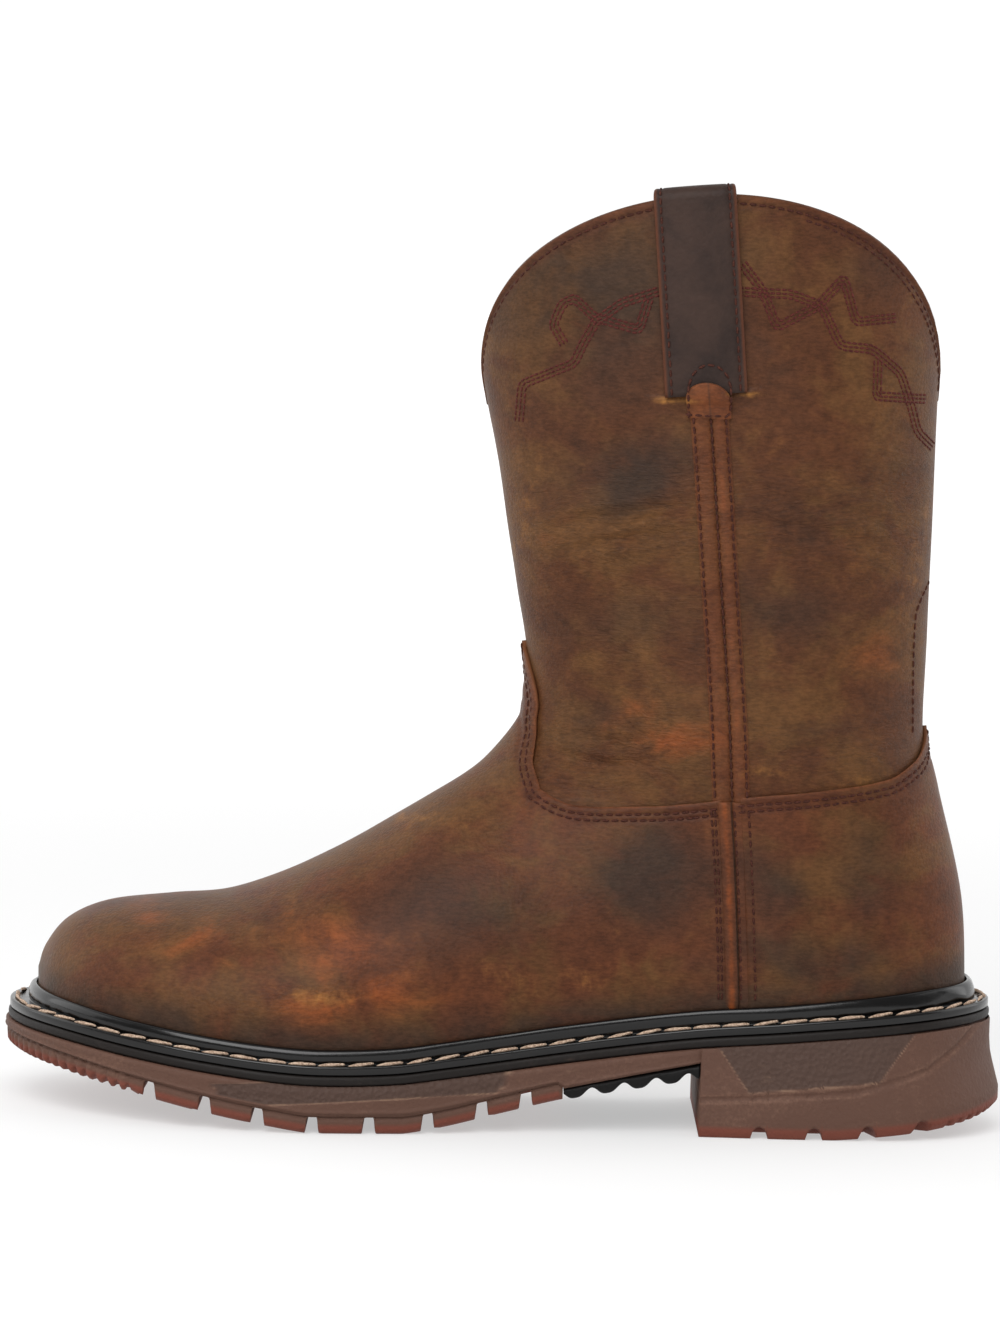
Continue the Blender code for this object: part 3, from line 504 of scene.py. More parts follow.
def distanceTo(line, x, z):
    # distance in the side view to a polyline, and the place along it from 0 to 1
    line = np.array(line, float)
    spans = np.linalg.norm(line[1:] - line[:-1], axis=1)
    starts = np.concatenate(((0.0,), np.cumsum(spans)))
    best, where = np.full(x.shape, 1e9), np.zeros(x.shape)
    for a, b, span, start in zip(line[:-1], line[1:], spans, starts):
        u = np.clip(((x - a[0]) * (b[0] - a[0]) + (z - a[1]) * (b[1] - a[1])) / span ** 2, 0.0, 1.0)
        d = np.hypot(x - a[0] - u * (b[0] - a[0]), z - a[1] - u * (b[1] - a[1]))
        where = np.where(d < best, (start + u * span) / starts[-1], where)
        best = np.minimum(best, d)
    return best, where


# Shader sockets with arithmetic
class Wire:
    def __init__(self, tree, socket=None):
        self.tree = tree
        self.socket = socket

    def node(self, kind, settings=None, out=0, **sockets):
        made = self.tree.nodes.new(kind)
        for key, value in (settings or {}).items():
            setattr(made, key, value)
        for key, value in sockets.items():
            numbered = key[0] == "i" and key[1:].isdigit()
            entry = made.inputs[int(key[1:]) if numbered else key.replace("_", " ")]
            if isinstance(value, Wire):
                self.tree.links.new(value.socket, entry)
            elif hasattr(value, "__len__") and len(value) == 3 and entry.type == "RGBA":
                entry.default_value = (*value, 1.0)
            else:
                entry.default_value = value
        return Wire(self.tree, made.outputs[out])

    def math(self, operation, a, b=0.0, clamp=False):
        return self.node("ShaderNodeMath", {"operation": operation, "use_clamp": clamp}, i0=a, i1=b)

    def __add__(self, other):
        return self.math("ADD", self, other)

    __radd__ = __add__

    def __sub__(self, other):
        return self.math("SUBTRACT", self, other)

    def __rsub__(self, other):
        return self.math("SUBTRACT", other, self)

    def __mul__(self, other):
        return self.math("MULTIPLY", self, other)

    __rmul__ = __mul__

    def clipped(self):
        return self.math("ADD", self, 0.0, clamp=True)

    def ramp(self, low, high):
        # 0 below low, 1 above high, eased between
        return self.node("ShaderNodeMapRange", {"interpolation_type": "SMOOTHSTEP"}, i0=self, i1=low, i2=high)

    def mix(self, a, b):
        # colour a where this is 0, b where it is 1
        return self.node("ShaderNodeMix", {"data_type": "RGBA"}, out=2, i0=self, i6=a, i7=b)

    def noise(self, scale, detail, rough, warp=0.0):
        return self.node("ShaderNodeTexNoise", Vector=self, Scale=scale, Detail=detail, Roughness=rough,
                         Distortion=warp)

    def cells(self, scale, smoothness):
        return self.node("ShaderNodeTexVoronoi", {"feature": "SMOOTH_F1"}, Vector=self, Scale=scale,
                         Smoothness=smoothness)

    def shaded(self, shade):
        return self.node("ShaderNodeVectorMath", {"operation": "SCALE"}, Vector=self, Scale=shade)

    def stretched(self, x, y, z):
        return self.node("ShaderNodeMapping", Vector=self, Scale=(x, y, z))

    def mark(self, name):
        return self.node("ShaderNodeAttribute", {"attribute_name": name}, out=2)

    def bump(self, height, strength, depth):
        return self.node("ShaderNodeBump", Height=height, Strength=strength, Distance=depth)


def finish(name, build, **fixed):
    # a Principled material: build(place) gives the linked sockets, fixed the constant ones
    material = bpy.data.materials.new(name)
    material.use_nodes = True
    tree = material.node_tree
    shader = tree.nodes["Principled BSDF"]
    place = Wire(tree, tree.nodes.new("ShaderNodeTexCoord").outputs["Object"])
    for key, value in build(place).items():
        tree.links.new(value.socket, shader.inputs[key.replace("_", " ")])
    for key, value in fixed.items():
        shader.inputs[key.replace("_", " ")].default_value = value
    return material


def rgb(red, green, blue):
    # screen values 0..255 to linear
    def linear(v):
        v = v / 255
        return v / 12.92 if v <= 0.04045 else ((v + 0.055) / 1.055) ** 2.4
    return (linear(red), linear(green), linear(blue))


# Oiled leather: brown ground, olive and rust clouds, grey-brown pull marks, pale rubbed spots. The grey, rust
# and pale marks also carry painted shade and painted highlights.
oiled = {
    "ground": rgb(81, 47, 27), "olive": rgb(87, 57, 31), "rust": rgb(126, 64, 30), "grey": rgb(49, 37, 30),
    "pale": rgb(150, 102, 50), "edge": rgb(100, 57, 33), "sewn": rgb(72, 37, 25),
    "roughness": 0.48, "grain": 0.42,
}


def oiledLeather(name, look):
    def build(p):
        clouds = p.noise(19.0, 4.0, 0.55, 0.6)
        drift = p.stretched(1.0, 1.0, 1.4).noise(44.0, 4.0, 0.62, 0.7)
        specks = p.noise(210.0, 4.0, 0.65)
        hairs = p.stretched(0.7, 0.9, 1.9).noise(680.0, 3.0, 0.65)
        dark, rust, pale = p.mark("darkPull"), p.mark("rustPull"), p.mark("palePull")
        edge, sewn = p.mark("nearEdge"), p.mark("sewnBand")
        wobble = drift - 0.5
        colour = (clouds + wobble * 0.8).ramp(0.38, 0.64).mix(look["ground"], look["olive"])
        # rust mix: the hide's rust clouds, and painted highlights on the seam strip and the piping
        rustAndHighlightMask = (rust * (0.85 + wobble * 2.0) + (drift - 0.62) * 1.1).ramp(0.08, 0.95)
        colour = (rustAndHighlightMask * 0.85).mix(colour, look["rust"])
        # grey mix: the hide's dark pulls, painted shade in the seam's creases and along the toe's top, and
        # the darkening towards the welt
        darkened = dark * (0.85 + wobble * 2.6) + (0.48 - clouds) * 1.1 + (0.47 - drift) * 1.0
        darkAndShadeMask = darkened.ramp(0.02, 0.72)
        colour = (darkAndShadeMask * 0.88).mix(colour, look["grey"])
        # pale mix: rubbed spots, and painted highlights along the top line, the shaft's edges and the lips
        # under the strap
        paleAndHighlightMask = (pale * (0.9 + (specks - 0.5) * 1.4) + (specks - 0.66) * 0.6).ramp(0.1, 1.1)
        colour = (paleAndHighlightMask * 0.8).mix(colour, look["pale"])
        colour = (sewn * 0.45).mix(colour, look["sewn"])
        colour = (edge * 0.8).mix(colour, look["edge"])
        wrinkled = p.mark("wrinkled")
        wrinkles = p.stretched(0.45, 0.7, 2.0).noise(360.0, 4.0, 0.6, 1.4)
        shade = 0.64 + specks.ramp(0.25, 0.75) * 0.34 + hairs.ramp(0.3, 0.7) * 0.36 + wobble * 0.55
        # painted shade in the wrinkles' hollows and painted light on their crests
        shade = shade + (wrinkles - 0.5) * wrinkled * 1.3
        colour = colour.shaded(shade)
        pores = p.noise(2600.0, 2.0, 0.5)
        height = p.cells(1000.0, 0.6) * 0.22 + pores * 0.15 + wrinkles * (0.25 + wrinkled * 4.5)
        return {
            "Base_Color": colour,
            "Roughness": (look["roughness"] - 0.1 + specks * 0.2 + darkAndShadeMask * 0.04).clipped(),
            "Normal": p.bump(height, look["grain"], 0.0012),
        }
    return finish(name, build, Specular_IOR_Level=0.13, Sheen_Weight=0.04, Sheen_Roughness=0.4,
                  Sheen_Tint=(1.0, 0.78, 0.55, 1.0))


def plainLeather(name, look):
    # straps, linings, cut edges: one tone with soft clouds
    def build(p):
        clouds = p.noise(48.0, 4.0, 0.6)
        fine = p.noise(500.0, 3.0, 0.6)
        colour = clouds.ramp(0.3, 0.7).mix(look["deep"], look["light"])
        colour = p.mark("nearEdge").mix(colour, look["edge"])
        return {
            "Base_Color": colour.shaded(0.8 + fine * 0.4),
            "Roughness": (look["roughness"] + (fine - 0.5) * 0.15).clipped(),
            "Normal": p.bump(p.cells(900.0, 0.6) * 0.5 + fine * 0.5, look["grain"], 0.0012),
        }
    return finish(name, build, Specular_IOR_Level=0.13)


def thread(name, deep, light):
    def build(p):
        fibre = p.noise(1800.0, 2.0, 0.6)
        return {
            "Base_Color": fibre.ramp(0.3, 0.7).mix(deep, light),
            "Roughness": (0.6 + fibre * 0.2).clipped(),
            "Normal": p.bump(fibre, 0.3, 0.0005),
        }
    return finish(name, build, Specular_IOR_Level=0.15)


shaftLeather = oiledLeather("shaft leather", oiled)
vampLeather = oiledLeather("vamp leather", {**oiled, "ground": rgb(89, 49, 28), "roughness": 0.46})
seamLeather = oiledLeather("seam leather", {**oiled, "ground": rgb(89, 49, 29), "olive": rgb(93, 55, 32)})
cutEdge = plainLeather("cut edge", {
    "deep": rgb(74, 44, 28), "light": rgb(100, 61, 37), "edge": rgb(100, 61, 37),
    "roughness": 0.65, "grain": 0.1})
liningLeather = plainLeather("lining", {
    "deep": rgb(120, 88, 58), "light": rgb(150, 114, 78), "edge": rgb(120, 88, 58),
    "roughness": 0.75, "grain": 0.12})
strapLeather = plainLeather("strap leather", {
    "deep": rgb(41, 31, 28), "light": rgb(58, 43, 37), "edge": rgb(86, 48, 30),
    "roughness": 0.5, "grain": 0.2})
darkThread = thread("dark thread", rgb(48, 24, 18), rgb(78, 42, 32))
ornamentThread = thread("ornament thread", rgb(60, 25, 22), rgb(90, 42, 36))
tanThread = thread("tan thread", rgb(134, 108, 90), rgb(206, 182, 160))
print("leathers ready")

# Soft folds of the leather: x, z in the side view, width and depth in mm, and the sides they lie on
folds = (
    {"line": ((12, 188), (34, 193), (56, 197)), "width": 2.4, "depth": 1.4, "sides": bothSides},
    {"line": ((18, 182), (40, 187), (56, 189)), "width": 2.0, "depth": 1.0, "sides": (outerSide,)},
    {"line": ((66, 193), (92, 190), (114, 184)), "width": 2.4, "depth": 1.15, "sides": bothSides},
    {"line": ((68, 201), (96, 197), (120, 192)), "width": 2.1, "depth": 0.9, "sides": (outerSide,)},
    {"line": ((11, 117), (28, 114), (47, 117)), "width": 2.4, "depth": 0.8, "sides": bothSides},
    {"line": ((15, 124), (33, 121), (50, 125)), "width": 2.2, "depth": 0.65, "sides": bothSides},
    {"line": ((78, 120), (100, 123), (120, 131)), "width": 2.6, "depth": 0.7, "sides": bothSides},
    {"line": ((2, 162), (50, 156), (122, 166)), "width": 16.0, "depth": 1.0, "sides": bothSides},
    {"line": ((0, 206), (30, 208), (52, 204)), "width": 12.0, "depth": 0.8, "sides": (outerSide,)},
    {"line": ((76, 214), (100, 208), (124, 210)), "width": 12.0, "depth": 0.7, "sides": (innerSide,)},
    {"line": ((-48, 80), (-38, 62), (-34, 44)), "width": 9.0, "depth": 0.8, "sides": bothSides},
    {"line": ((-66, 72), (-60, 58), (-58, 44)), "width": 7.0, "depth": 0.5, "sides": bothSides},
    {"line": ((-16, 100), (6, 90), (24, 70)), "width": 11.0, "depth": 0.9, "sides": bothSides},
    {"line": ((86, 96), (100, 78), (112, 60)), "width": 12.0, "depth": 0.6, "sides": bothSides},
    # lips under the strap
    {"line": ((37, 228.9), (44, 228.1), (52, 228.4)), "width": 1.2, "depth": -0.7, "sides": bothSides},
    {"line": ((62, 230.3), (68, 230.9), (75, 232.6)), "width": 1.2, "depth": -0.7, "sides": bothSides},
)


def foldDepth(x, z, side):
    sunk = np.zeros(x.shape)
    for fold in folds:
        d, along = distanceTo(fold["line"], x, z)
        taper = np.sin(np.pi * np.clip(along, 0.02, 0.98)) ** 0.7
        off = d / fold["width"]
        trough = np.exp(-off ** 2) - 0.35 * np.exp(-(off - 1.7) ** 2 * 1.6)      # with a soft ridge beside it
        sunk += np.where(np.isin(np.sign(side), fold["sides"]), fold["depth"] * taper * trough, 0.0)
    return -sunk


# Pulls in the oiled finish, as the hide shows them, with painted highlights and painted shade among them: x,
# z, half length, half height, strength
pullsAndPaintedLight = {
    "darkPull": (
        (18, 266, 40, 26, 0.85), (-2, 250, 12, 18, 0.6), (33, 206, 13, 9, 0.95), (39, 160, 24, 9, 0.5),
        (92, 198, 24, 9, 0.35), (88, 166, 22, 9, 0.5), (90, 129, 14, 6, 0.4), (20, 132, 9, 8, 0.55),
        (-78, 64, 16, 6, 0.35), (-8, 68, 24, 12, 0.65), (-30, 61, 14, 7, 0.35), (-52, 82, 14, 4, 0.4),
        (46, 80, 17, 13, 0.85), (95, 59, 20, 9, 0.75), (114, 88, 11, 20, 0.6), (88, 82, 14, 11, 0.6),
        # (-104, 64) runs along the toe's top: painted shade that darkens the lit top.
        (-122, 45, 22, 9, 0.3), (-104, 64, 34, 4, 0.45), (10, 206, 13, 18, 0.4), (104, 272, 20, 12, 0.35),
        (112, 208, 12, 9, 0.35), (60, 52, 24, 5, 0.35)),
    "rustPull": (
        (-57, 42, 26, 7, 1.0), (-20, 41, 16, 5, 0.6), (-56, 60, 24, 11, 0.65), (-116, 60, 16, 8, 0.6),
        (46, 120, 19, 7, 0.8), (31, 131, 14, 7, 0.55), (110, 153, 13, 8, 0.65), (118, 62, 7, 14, 0.45),
        (66, 96, 5, 20, 0.35), (13, 178, 8, 10, 0.4), (-92, 50, 24, 9, 0.5), (104, 232, 14, 8, 0.3)),
    "palePull": (
        # (-36, 93), (-82, 69), (2, 190) and (127, 185) run along the top line and the shaft's edges: painted
        # highlights. (46.5, 228.5) and (67.5, 231.0) are painted highlights on the lips under the strap.
        (-57, 43, 17, 3, 0.7), (-4, 50, 17, 6, 0.45), (31, 67, 4, 15, 0.4), (23, 52, 15, 6, 0.45),
        (78, 115, 11, 2.5, 0.6), (110, 112, 10, 6, 0.4), (-36, 93, 26, 3, 0.55), (2, 190, 7, 42, 0.42),
        (60, 190, 12, 12, 0.25), (74, 218, 10, 10, 0.3), (112, 180, 10, 12, 0.3), (27, 185, 18, 5, 0.3),
        (127, 185, 5, 45, 0.45), (-82, 69, 24, 2.5, 0.4),
        (46.5, 228.5, 6.5, 1.1, 1.3), (67.5, 231.0, 6.5, 1.1, 1.3), (-12.3, 93, 1.6, 2.4, 0.5),
        (17.2, 206.5, 0.6, 4, 0.6)),
    "wrinkled": (
        (36, 192, 30, 14, 0.9), (96, 194, 34, 18, 0.8), (30, 120, 30, 10, 0.8), (100, 126, 26, 10, 0.6),
        (60, 160, 60, 30, 0.25)),
}
# The leather gets darker towards the welt, between these heights over the bead.
darkAboveWelt = {"from": 18.0, "full": -1.0, "strength": 0.8}       # heights over the bead


def pullsAndPaintedLightAt(x, z, side):
    # the pull marks, with their painted highlights and painted shade, at places in the side view
    inner = side > 0
    x = np.where(inner, x + 17.0 * np.sin(z / 37.0), x)            # the inner side has its own drift
    z = np.where(inner, z + 9.0 * np.sin(x / 29.0 + 1.0), z)
    bendX = 4.6 * np.sin(z / 13.0 + 1.0) + 2.0 * np.sin(z / 5.1 + x / 9.0)
    bendZ = 3.6 * np.sin(x / 12.0) + 1.7 * np.sin(x / 4.7 - z / 8.0)
    marks = {}
    for key, spots in pullsAndPaintedLight.items():
        total = np.zeros(x.shape)
        wide = 0.55 if key == "darkPull" else 1.0
        for cx, cz, rx, rz, strength in spots:
            loose = min(1.0, (rz / 7.0) ** 2)
            u, v = (x + bendX * loose - cx) / rx, (z + bendZ * loose - cz) / rz
            total = np.maximum(total, strength * np.exp(-wide * (u ** 2 + v ** 2) ** 0.8))
        # darker towards the welt
        if key == "darkPull":
            aboveWelt = step(darkAboveWelt["from"], darkAboveWelt["full"], z - beadTop(x))
            total = np.maximum(total, darkAboveWelt["strength"] * aboveWelt)
        marks[key] = total
    return marks


def leatherPiece(name, patches, lift, thick, relief, materials):
    # patches raised along their normals, folded, then given their thickness inwards
    mesh = sheetOf(name, patches)
    places, normals = placesOf(mesh), normalsOf(mesh)
    side, s, t = numbersOf(mesh, "sideAt"), numbersOf(mesh, "sectionAt"), numbersOf(mesh, "acrossAt")
    for key, values in pullsAndPaintedLightAt(places[:, 0], places[:, 2], side).items():
        setNumbers(mesh, key, values)
    depth = lift + foldDepth(places[:, 0], places[:, 2], side) + relief(mesh, places, s, t)
    setPlaces(mesh, places + normals * depth[:, None])
    made = addObject(name, mesh)
    for material in materials:
        mesh.materials.append(material)
    solid = made.modifiers.new("thickness", "SOLIDIFY")
    solid.thickness = thick * mm
    solid.offset = -1.0
    solid.use_even_offset = False
    solid.material_offset = 1
    solid.material_offset_rim = 2
    return settle(made)


# Upper: foot under the panels, shaft in the open, lined, with a turned edge at the collar
upperCut = {"wall": 2.0, "turned": 1.7, "turnedRise": 0.35, "groove": 0.35}
plainShares = np.linspace(0.0, 1.0, 13)
quarterShares = np.linspace(0.0, 1.0, 25)
frontShares = crowded(44, 1.3, 1.0)
ankleShares = crowded(34, 1.5, 1.0)
seamLineS = notch + (peak - notch) * ankleShares[::-1]
seamLineT = np.concatenate(((peakT,), seamT(seamLineS[1:-1]), (1.0,)))
topLineT = evened(seamLineT, 1.0)
shaftShares = np.concatenate((np.linspace(0.0, 0.93, 112), 0.93 + 0.07 * np.linspace(0, 1, 19)[1:]))


def upperRelief(mesh, places, s, t):
    # turned edge along the collar, with the groove of its stitches below
    toRim = np.linalg.norm(skin(np.maximum(collarEnd(t), s), t, outerSide) - skin(s, t, outerSide), axis=1)
    below = np.where(s > 16.0, toRim, 60.0)
    band = step(upperCut["turned"] + 0.5, upperCut["turned"] - 0.3, below)
    roll = np.sqrt(np.clip(1 - (1 - np.clip(below / 1.5, 0, 1)) ** 2, 0, 1))
    groove = np.exp(-((below - upperCut["turned"] - 1.1) / 0.7) ** 2)
    setNumbers(mesh, "nearEdge", band * 0.35)
    setNumbers(mesh, "sewnBand", step(6.5, 3.0, below))
    return upperCut["turnedRise"] * band * (0.3 + 0.7 * roll) - 0.6 * (1 - roll) - upperCut["groove"] * groove


upperPatches = (
    footPatch(36, plainShares, quarterShares, notch, 1.0),
    tonguePatch(ankleShares, plainShares),
    quarterPatch(ankleShares, quarterShares, notch, peak, 1.0, 0.0),
    counterPatch(seamLineS, seamLineT, topLineT, np.linspace(0, 1, 17), np.linspace(0, 1, 13)),
    frontPatch(ankleShares, frontShares),
    shaftPatch(shaftShares, frontShares, topLineT),
)
upper = leatherPiece("upper_leather", upperPatches, 0.0, upperCut["wall"], upperRelief,
                     (shaftLeather, liningLeather, seamLeather))
wear(upper, "shaft_leather", "upper")

# Vamp and counter: panels that lie on the upper, with cut edges and two rows of stitches along them
panelCut = {"gap": 0.3, "thick": 1.4, "roll": 0.4, "rows": (2.5, 4.4), "channel": 0.3, "bottom": 0.965}
panelTop = panelCut["gap"] + panelCut["thick"]
vampLast = float(bisect(peak, notch + 0.5, lambda s: quarterT(s) >= seamT(s, -panelEdges["channel"])))
vampFootS = float(seamS(panelCut["bottom"], -panelEdges["channel"]))
quarterLine = np.linspace(vampLast, notch, 90)
tongueLine = np.linspace(notch, tip, 70)[1:]
vampEdge = np.stack((np.concatenate((quarterLine, tongueLine)),
                     np.concatenate((quarterT(quarterLine), tongueT(tongueLine)))), 1)
counterTop = float(bisect(peakT, peakT + 0.2, lambda t: counterEnd(t) <= seamS(t, panelEdges["channel"])))
counterLine = np.linspace(counterTop, 1.0, 80)
counterEdge = np.stack((counterEnd(counterLine), counterLine), 1)


def edgeRelief(edge):
    line = skin(edge[:, 0], edge[:, 1], outerSide)[:, (0, 2)]

    def relief(mesh, places, s, t):
        d = distanceTo(line, places[:, 0], places[:, 2])[0]
        rolled = panelCut["roll"] * np.clip(1 - d / 1.1, 0, 1) ** 2
        sewn = sum(np.exp(-((d - row) / 0.65) ** 2) for row in panelCut["rows"])
        setNumbers(mesh, "nearEdge", np.exp(-(d / 0.55) ** 2))
        setNumbers(mesh, "sewnBand", step(6.4, 4.6, d))
        return -rolled - panelCut["channel"] * sewn
    return relief


vampTongue = crowded(26, 1.0, 1.4)
vampQuarter = crowded(76, 1.6, 1.0)
vampShares = crowded(72, 1.4, 1.0)
vampPatches = (
    footPatch(130, vampTongue, vampQuarter, vampFootS, panelCut["bottom"]),
    tonguePatch(vampShares, vampTongue),
    quarterPatch(vampShares, vampQuarter, vampFootS, vampLast, panelCut["bottom"], -panelEdges["channel"]),
)
vamp = leatherPiece("vamp_leather", vampPatches, panelTop, panelCut["thick"], edgeRelief(vampEdge),
                    (vampLeather, liningLeather, cutEdge))
wear(vamp, "vamp_leather", "vamp")
counterFootS = float(seamS(panelCut["bottom"], panelEdges["channel"]))
counterS0 = float(counterEnd(counterTop))
counterSeamS = counterS0 + (counterFootS - counterS0) * crowded(64, 1.0, 1.3)
counterSeamT = np.concatenate((
    (counterTop,), seamT(counterSeamS[1:-1], panelEdges["channel"]), (panelCut["bottom"],)))
counterPatches = (counterPatch(counterSeamS, counterSeamT, evened(counterSeamT, 1.0), np.linspace(0, 1, 56),
                               crowded(44, 1.0, 1.6)),)
counter = leatherPiece("counter_leather", counterPatches, panelTop, panelCut["thick"],
                       edgeRelief(counterEdge), (vampLeather, liningLeather, cutEdge))
wear(counter, "vamp_leather", "counter")


# Rubber: moulded, dusty where it is rubbed
def rubber(name, look):
    def build(p):
        clouds = p.noise(34.0, 4.0, 0.6, 0.4)
        dust = p.stretched(0.6, 1.0, 1.6).noise(150.0, 4.0, 0.7)
        fine = p.noise(900.0, 3.0, 0.6)
        worn, panel = p.mark("worn"), p.mark("panel")
        tone = (clouds + worn * 0.6 + (fine - 0.5) * 0.7 - 0.3).ramp(0.2, 0.8)
        colour = tone.mix(look["deep"], look["light"])
        colour = (p.mark("low") * look["lowShare"]).mix(colour, look["low"])
        colour = (panel * 0.7).mix(colour, look["panel"])
        colour = ((dust + worn * 0.35).ramp(0.62, 0.95) * look["dusty"]).mix(colour, look["dust"])
        height = fine * 0.7 + p.cells(620.0, 0.4) * (0.3 + panel * 1.2)
        return {
            "Base_Color": colour,
            "Roughness": (look["roughness"] + (dust - 0.5) * 0.3 + worn * 0.1).clipped(),
            "Normal": p.bump(height, look["grain"], 0.0012),
        }
    return finish(name, build, Specular_IOR_Level=look["shine"])


soleRubber = rubber("sole rubber", {
    "deep": rgb(90, 64, 53), "light": rgb(118, 88, 73), "low": rgb(114, 57, 44), "lowShare": 0.75,
    "panel": rgb(70, 56, 50), "dust": rgb(150, 122, 100), "dusty": 0.4,
    "roughness": 0.62, "grain": 0.4, "shine": 0.2})
weltRubber = rubber("welt rubber", {
    "deep": rgb(9, 8, 8), "light": rgb(16, 14, 13), "low": rgb(9, 8, 8), "lowShare": 0.0,
    "panel": rgb(9, 8, 8), "dust": rgb(80, 68, 58), "dusty": 0.06,
    "roughness": 0.2, "grain": 0.02, "shine": 0.42})
midsoleRubber = rubber("midsole rubber", {
    "deep": rgb(28, 24, 22), "light": rgb(50, 42, 38), "low": rgb(28, 24, 22), "lowShare": 0.0,
    "panel": rgb(28, 24, 22), "dust": rgb(118, 98, 84), "dusty": 0.4,
    "roughness": 0.5, "grain": 0.14, "shine": 0.18})
shankRubber = rubber("shank rubber", {
    "deep": rgb(14, 13, 13), "light": rgb(26, 23, 22), "low": rgb(14, 13, 13), "lowShare": 0.0,
    "panel": rgb(14, 13, 13), "dust": rgb(90, 80, 72), "dusty": 0.12,
    "roughness": 0.5, "grain": 0.15, "shine": 0.18})

# Sole: plan outline of the feather edge moved outwards, 0 (toe) to pi (heel) on each side
frontX, backEndX = lastRows[0, 2], lastRows[heelRow, 2]


def featherS(x):
    return bisect(np.zeros(x.shape), np.full(x.shape, float(heelRow)), lambda s: smooth(featherEnd, s) < x)


def rim(turn, side, out):
    turn = np.asarray(turn, float)

    def feather(a):
        x = (frontX + backEndX) / 2 - np.cos(a) * (backEndX - frontX) / 2
        s = featherS(x)
        half = np.where((a > 0) & (a < math.pi), np.maximum(smooth(featherHalf, s), 0.0), 0.0)
        return np.stack((x, smooth(lastCurve["endY"], s) + side * half), -1)

    here = feather(turn)
    tangent = feather(np.minimum(turn + 0.02, math.pi)) - feather(np.maximum(turn - 0.02, 0.0))
    normal = np.stack((tangent[:, 1], -tangent[:, 0]), -1) * -side
    normal /= np.linalg.norm(normal, axis=1, keepdims=True)
    normal[turn <= 0] = (-1.0, 0.0)
    normal[turn >= math.pi] = (1.0, 0.0)
    return here + normal * np.broadcast_to(np.asarray(out, float), turn.shape)[:, None]


def reachAt(turn):
    x = (frontX + backEndX) / 2 - np.cos(turn) * (backEndX - frontX) / 2
    return soleAt("reach", x)


def turnWhere(x, side, extra):
    # station whose edge of the sole is at x
    x = np.asarray(x, float)

    def before(a):
        return rim(a, side, reachAt(a) + extra)[:, 0] < x

    return bisect(np.zeros(x.shape), np.full(x.shape, math.pi), before)


def midY(x):
    return smooth(lastCurve["endY"], featherS(np.clip(np.asarray(x, float), frontX, backEndX)))


def backShare(x):
    return step(105.0, 145.0, x)


soleFloor = soleShape["floor"]


def tread(x):
    return np.maximum(soleAt("tread", x), soleFloor)


def arch(x):
    share = (x - soleShape["treadEnd"]) / (soleShape["breast"] - soleShape["treadEnd"])
    return soleShape["archFront"] + (soleShape["archBack"] - soleShape["archFront"]) * share


def plateUnder(x):
    plain = np.minimum(arch(x), soleAt("top", x) - soleShape["heelPlate"])
    return np.where(x < soleShape["treadEnd"], tread(x) + soleShape["lugDepth"], plain)


def heelGround(x):
    return np.maximum(smooth(soleShape["heelGround"], x), soleFloor)


stations = np.linspace(0.0, math.pi, 211)


def levelLoop(outs, heights):
    # one closed level round the sole: out from the feather edge, height by x
    rows = []
    for side in bothSides:
        p = rim(stations, side, outs)
        rows.append(np.column_stack((p, heights(p[:, 0]))))
    return np.concatenate((rows[0], rows[1][-2:0:-1]))


def loopFaces(levels, around, closed):
    # quads between levels that climb, seen from outside; closed joins the last level to the first
    faces = []
    steps = levels if closed else levels - 1
    i = np.arange(around)
    for k in range(steps):
        low, high = k * around, (k + 1) % levels * around
        faces.append(np.stack((low + i, low + (i + 1) % around, high + (i + 1) % around, high + i), 1))
    return np.concatenate(faces)


def capFaces(base, around, up):
    # quads across a level, from its outer half to its inner
    half = around // 2
    i = np.arange(half)
    far = around - i
    faces = np.stack((base + i, base + i + 1, base + (far - 1) % around, base + far % around), 1)
    return faces if up else faces[:, ::-1]


def layered(name, levels, closed=False):
    around = len(levels[0])
    faces = [loopFaces(len(levels), around, closed)]
    if not closed:
        faces += [capFaces(0, around, False), capFaces((len(levels) - 1) * around, around, True)]
    return cleaned(meshOf(name, np.concatenate(levels), np.concatenate(faces)))


# Welt: a flange under the stitches and a rounded bead against the upper
weltCut = {
    "clear": 2.0, "heelEase": 0.3, "bead": 2.6, "crown": 0.5, "edge": 0.7, "stitchAt": 1.35, "stitchUp": 0.35,
}


def innerLevel(lift, heights):
    # a level around the upper, standing off its face
    def before(v):
        return smooth(backZ, v) < heights(smooth(backX, v))

    s = bisect(np.array(float(heelRow)), np.array(heelRow + 3.0), before)
    back = float(smooth(backX, s))
    x = (frontX + back) / 2 - np.cos(stations) * (back - frontX) / 2
    rows = []
    for side in bothSides:
        ss, tt = find(x, heights(x))
        ss[0], ss[-1], tt[-1] = 0.0, s, 1.0
        p = lifted(ss, tt, side, lift + weltCut["heelEase"] * backShare(x))
        for _ in range(3):
            p[1:-1] = (p[:-2] + 2 * p[1:-1] + p[2:]) / 4
        p[:, 2] = heights(p[:, 0])
        rows.append(p)
    return np.concatenate((rows[0], rows[1][-2:0:-1]))


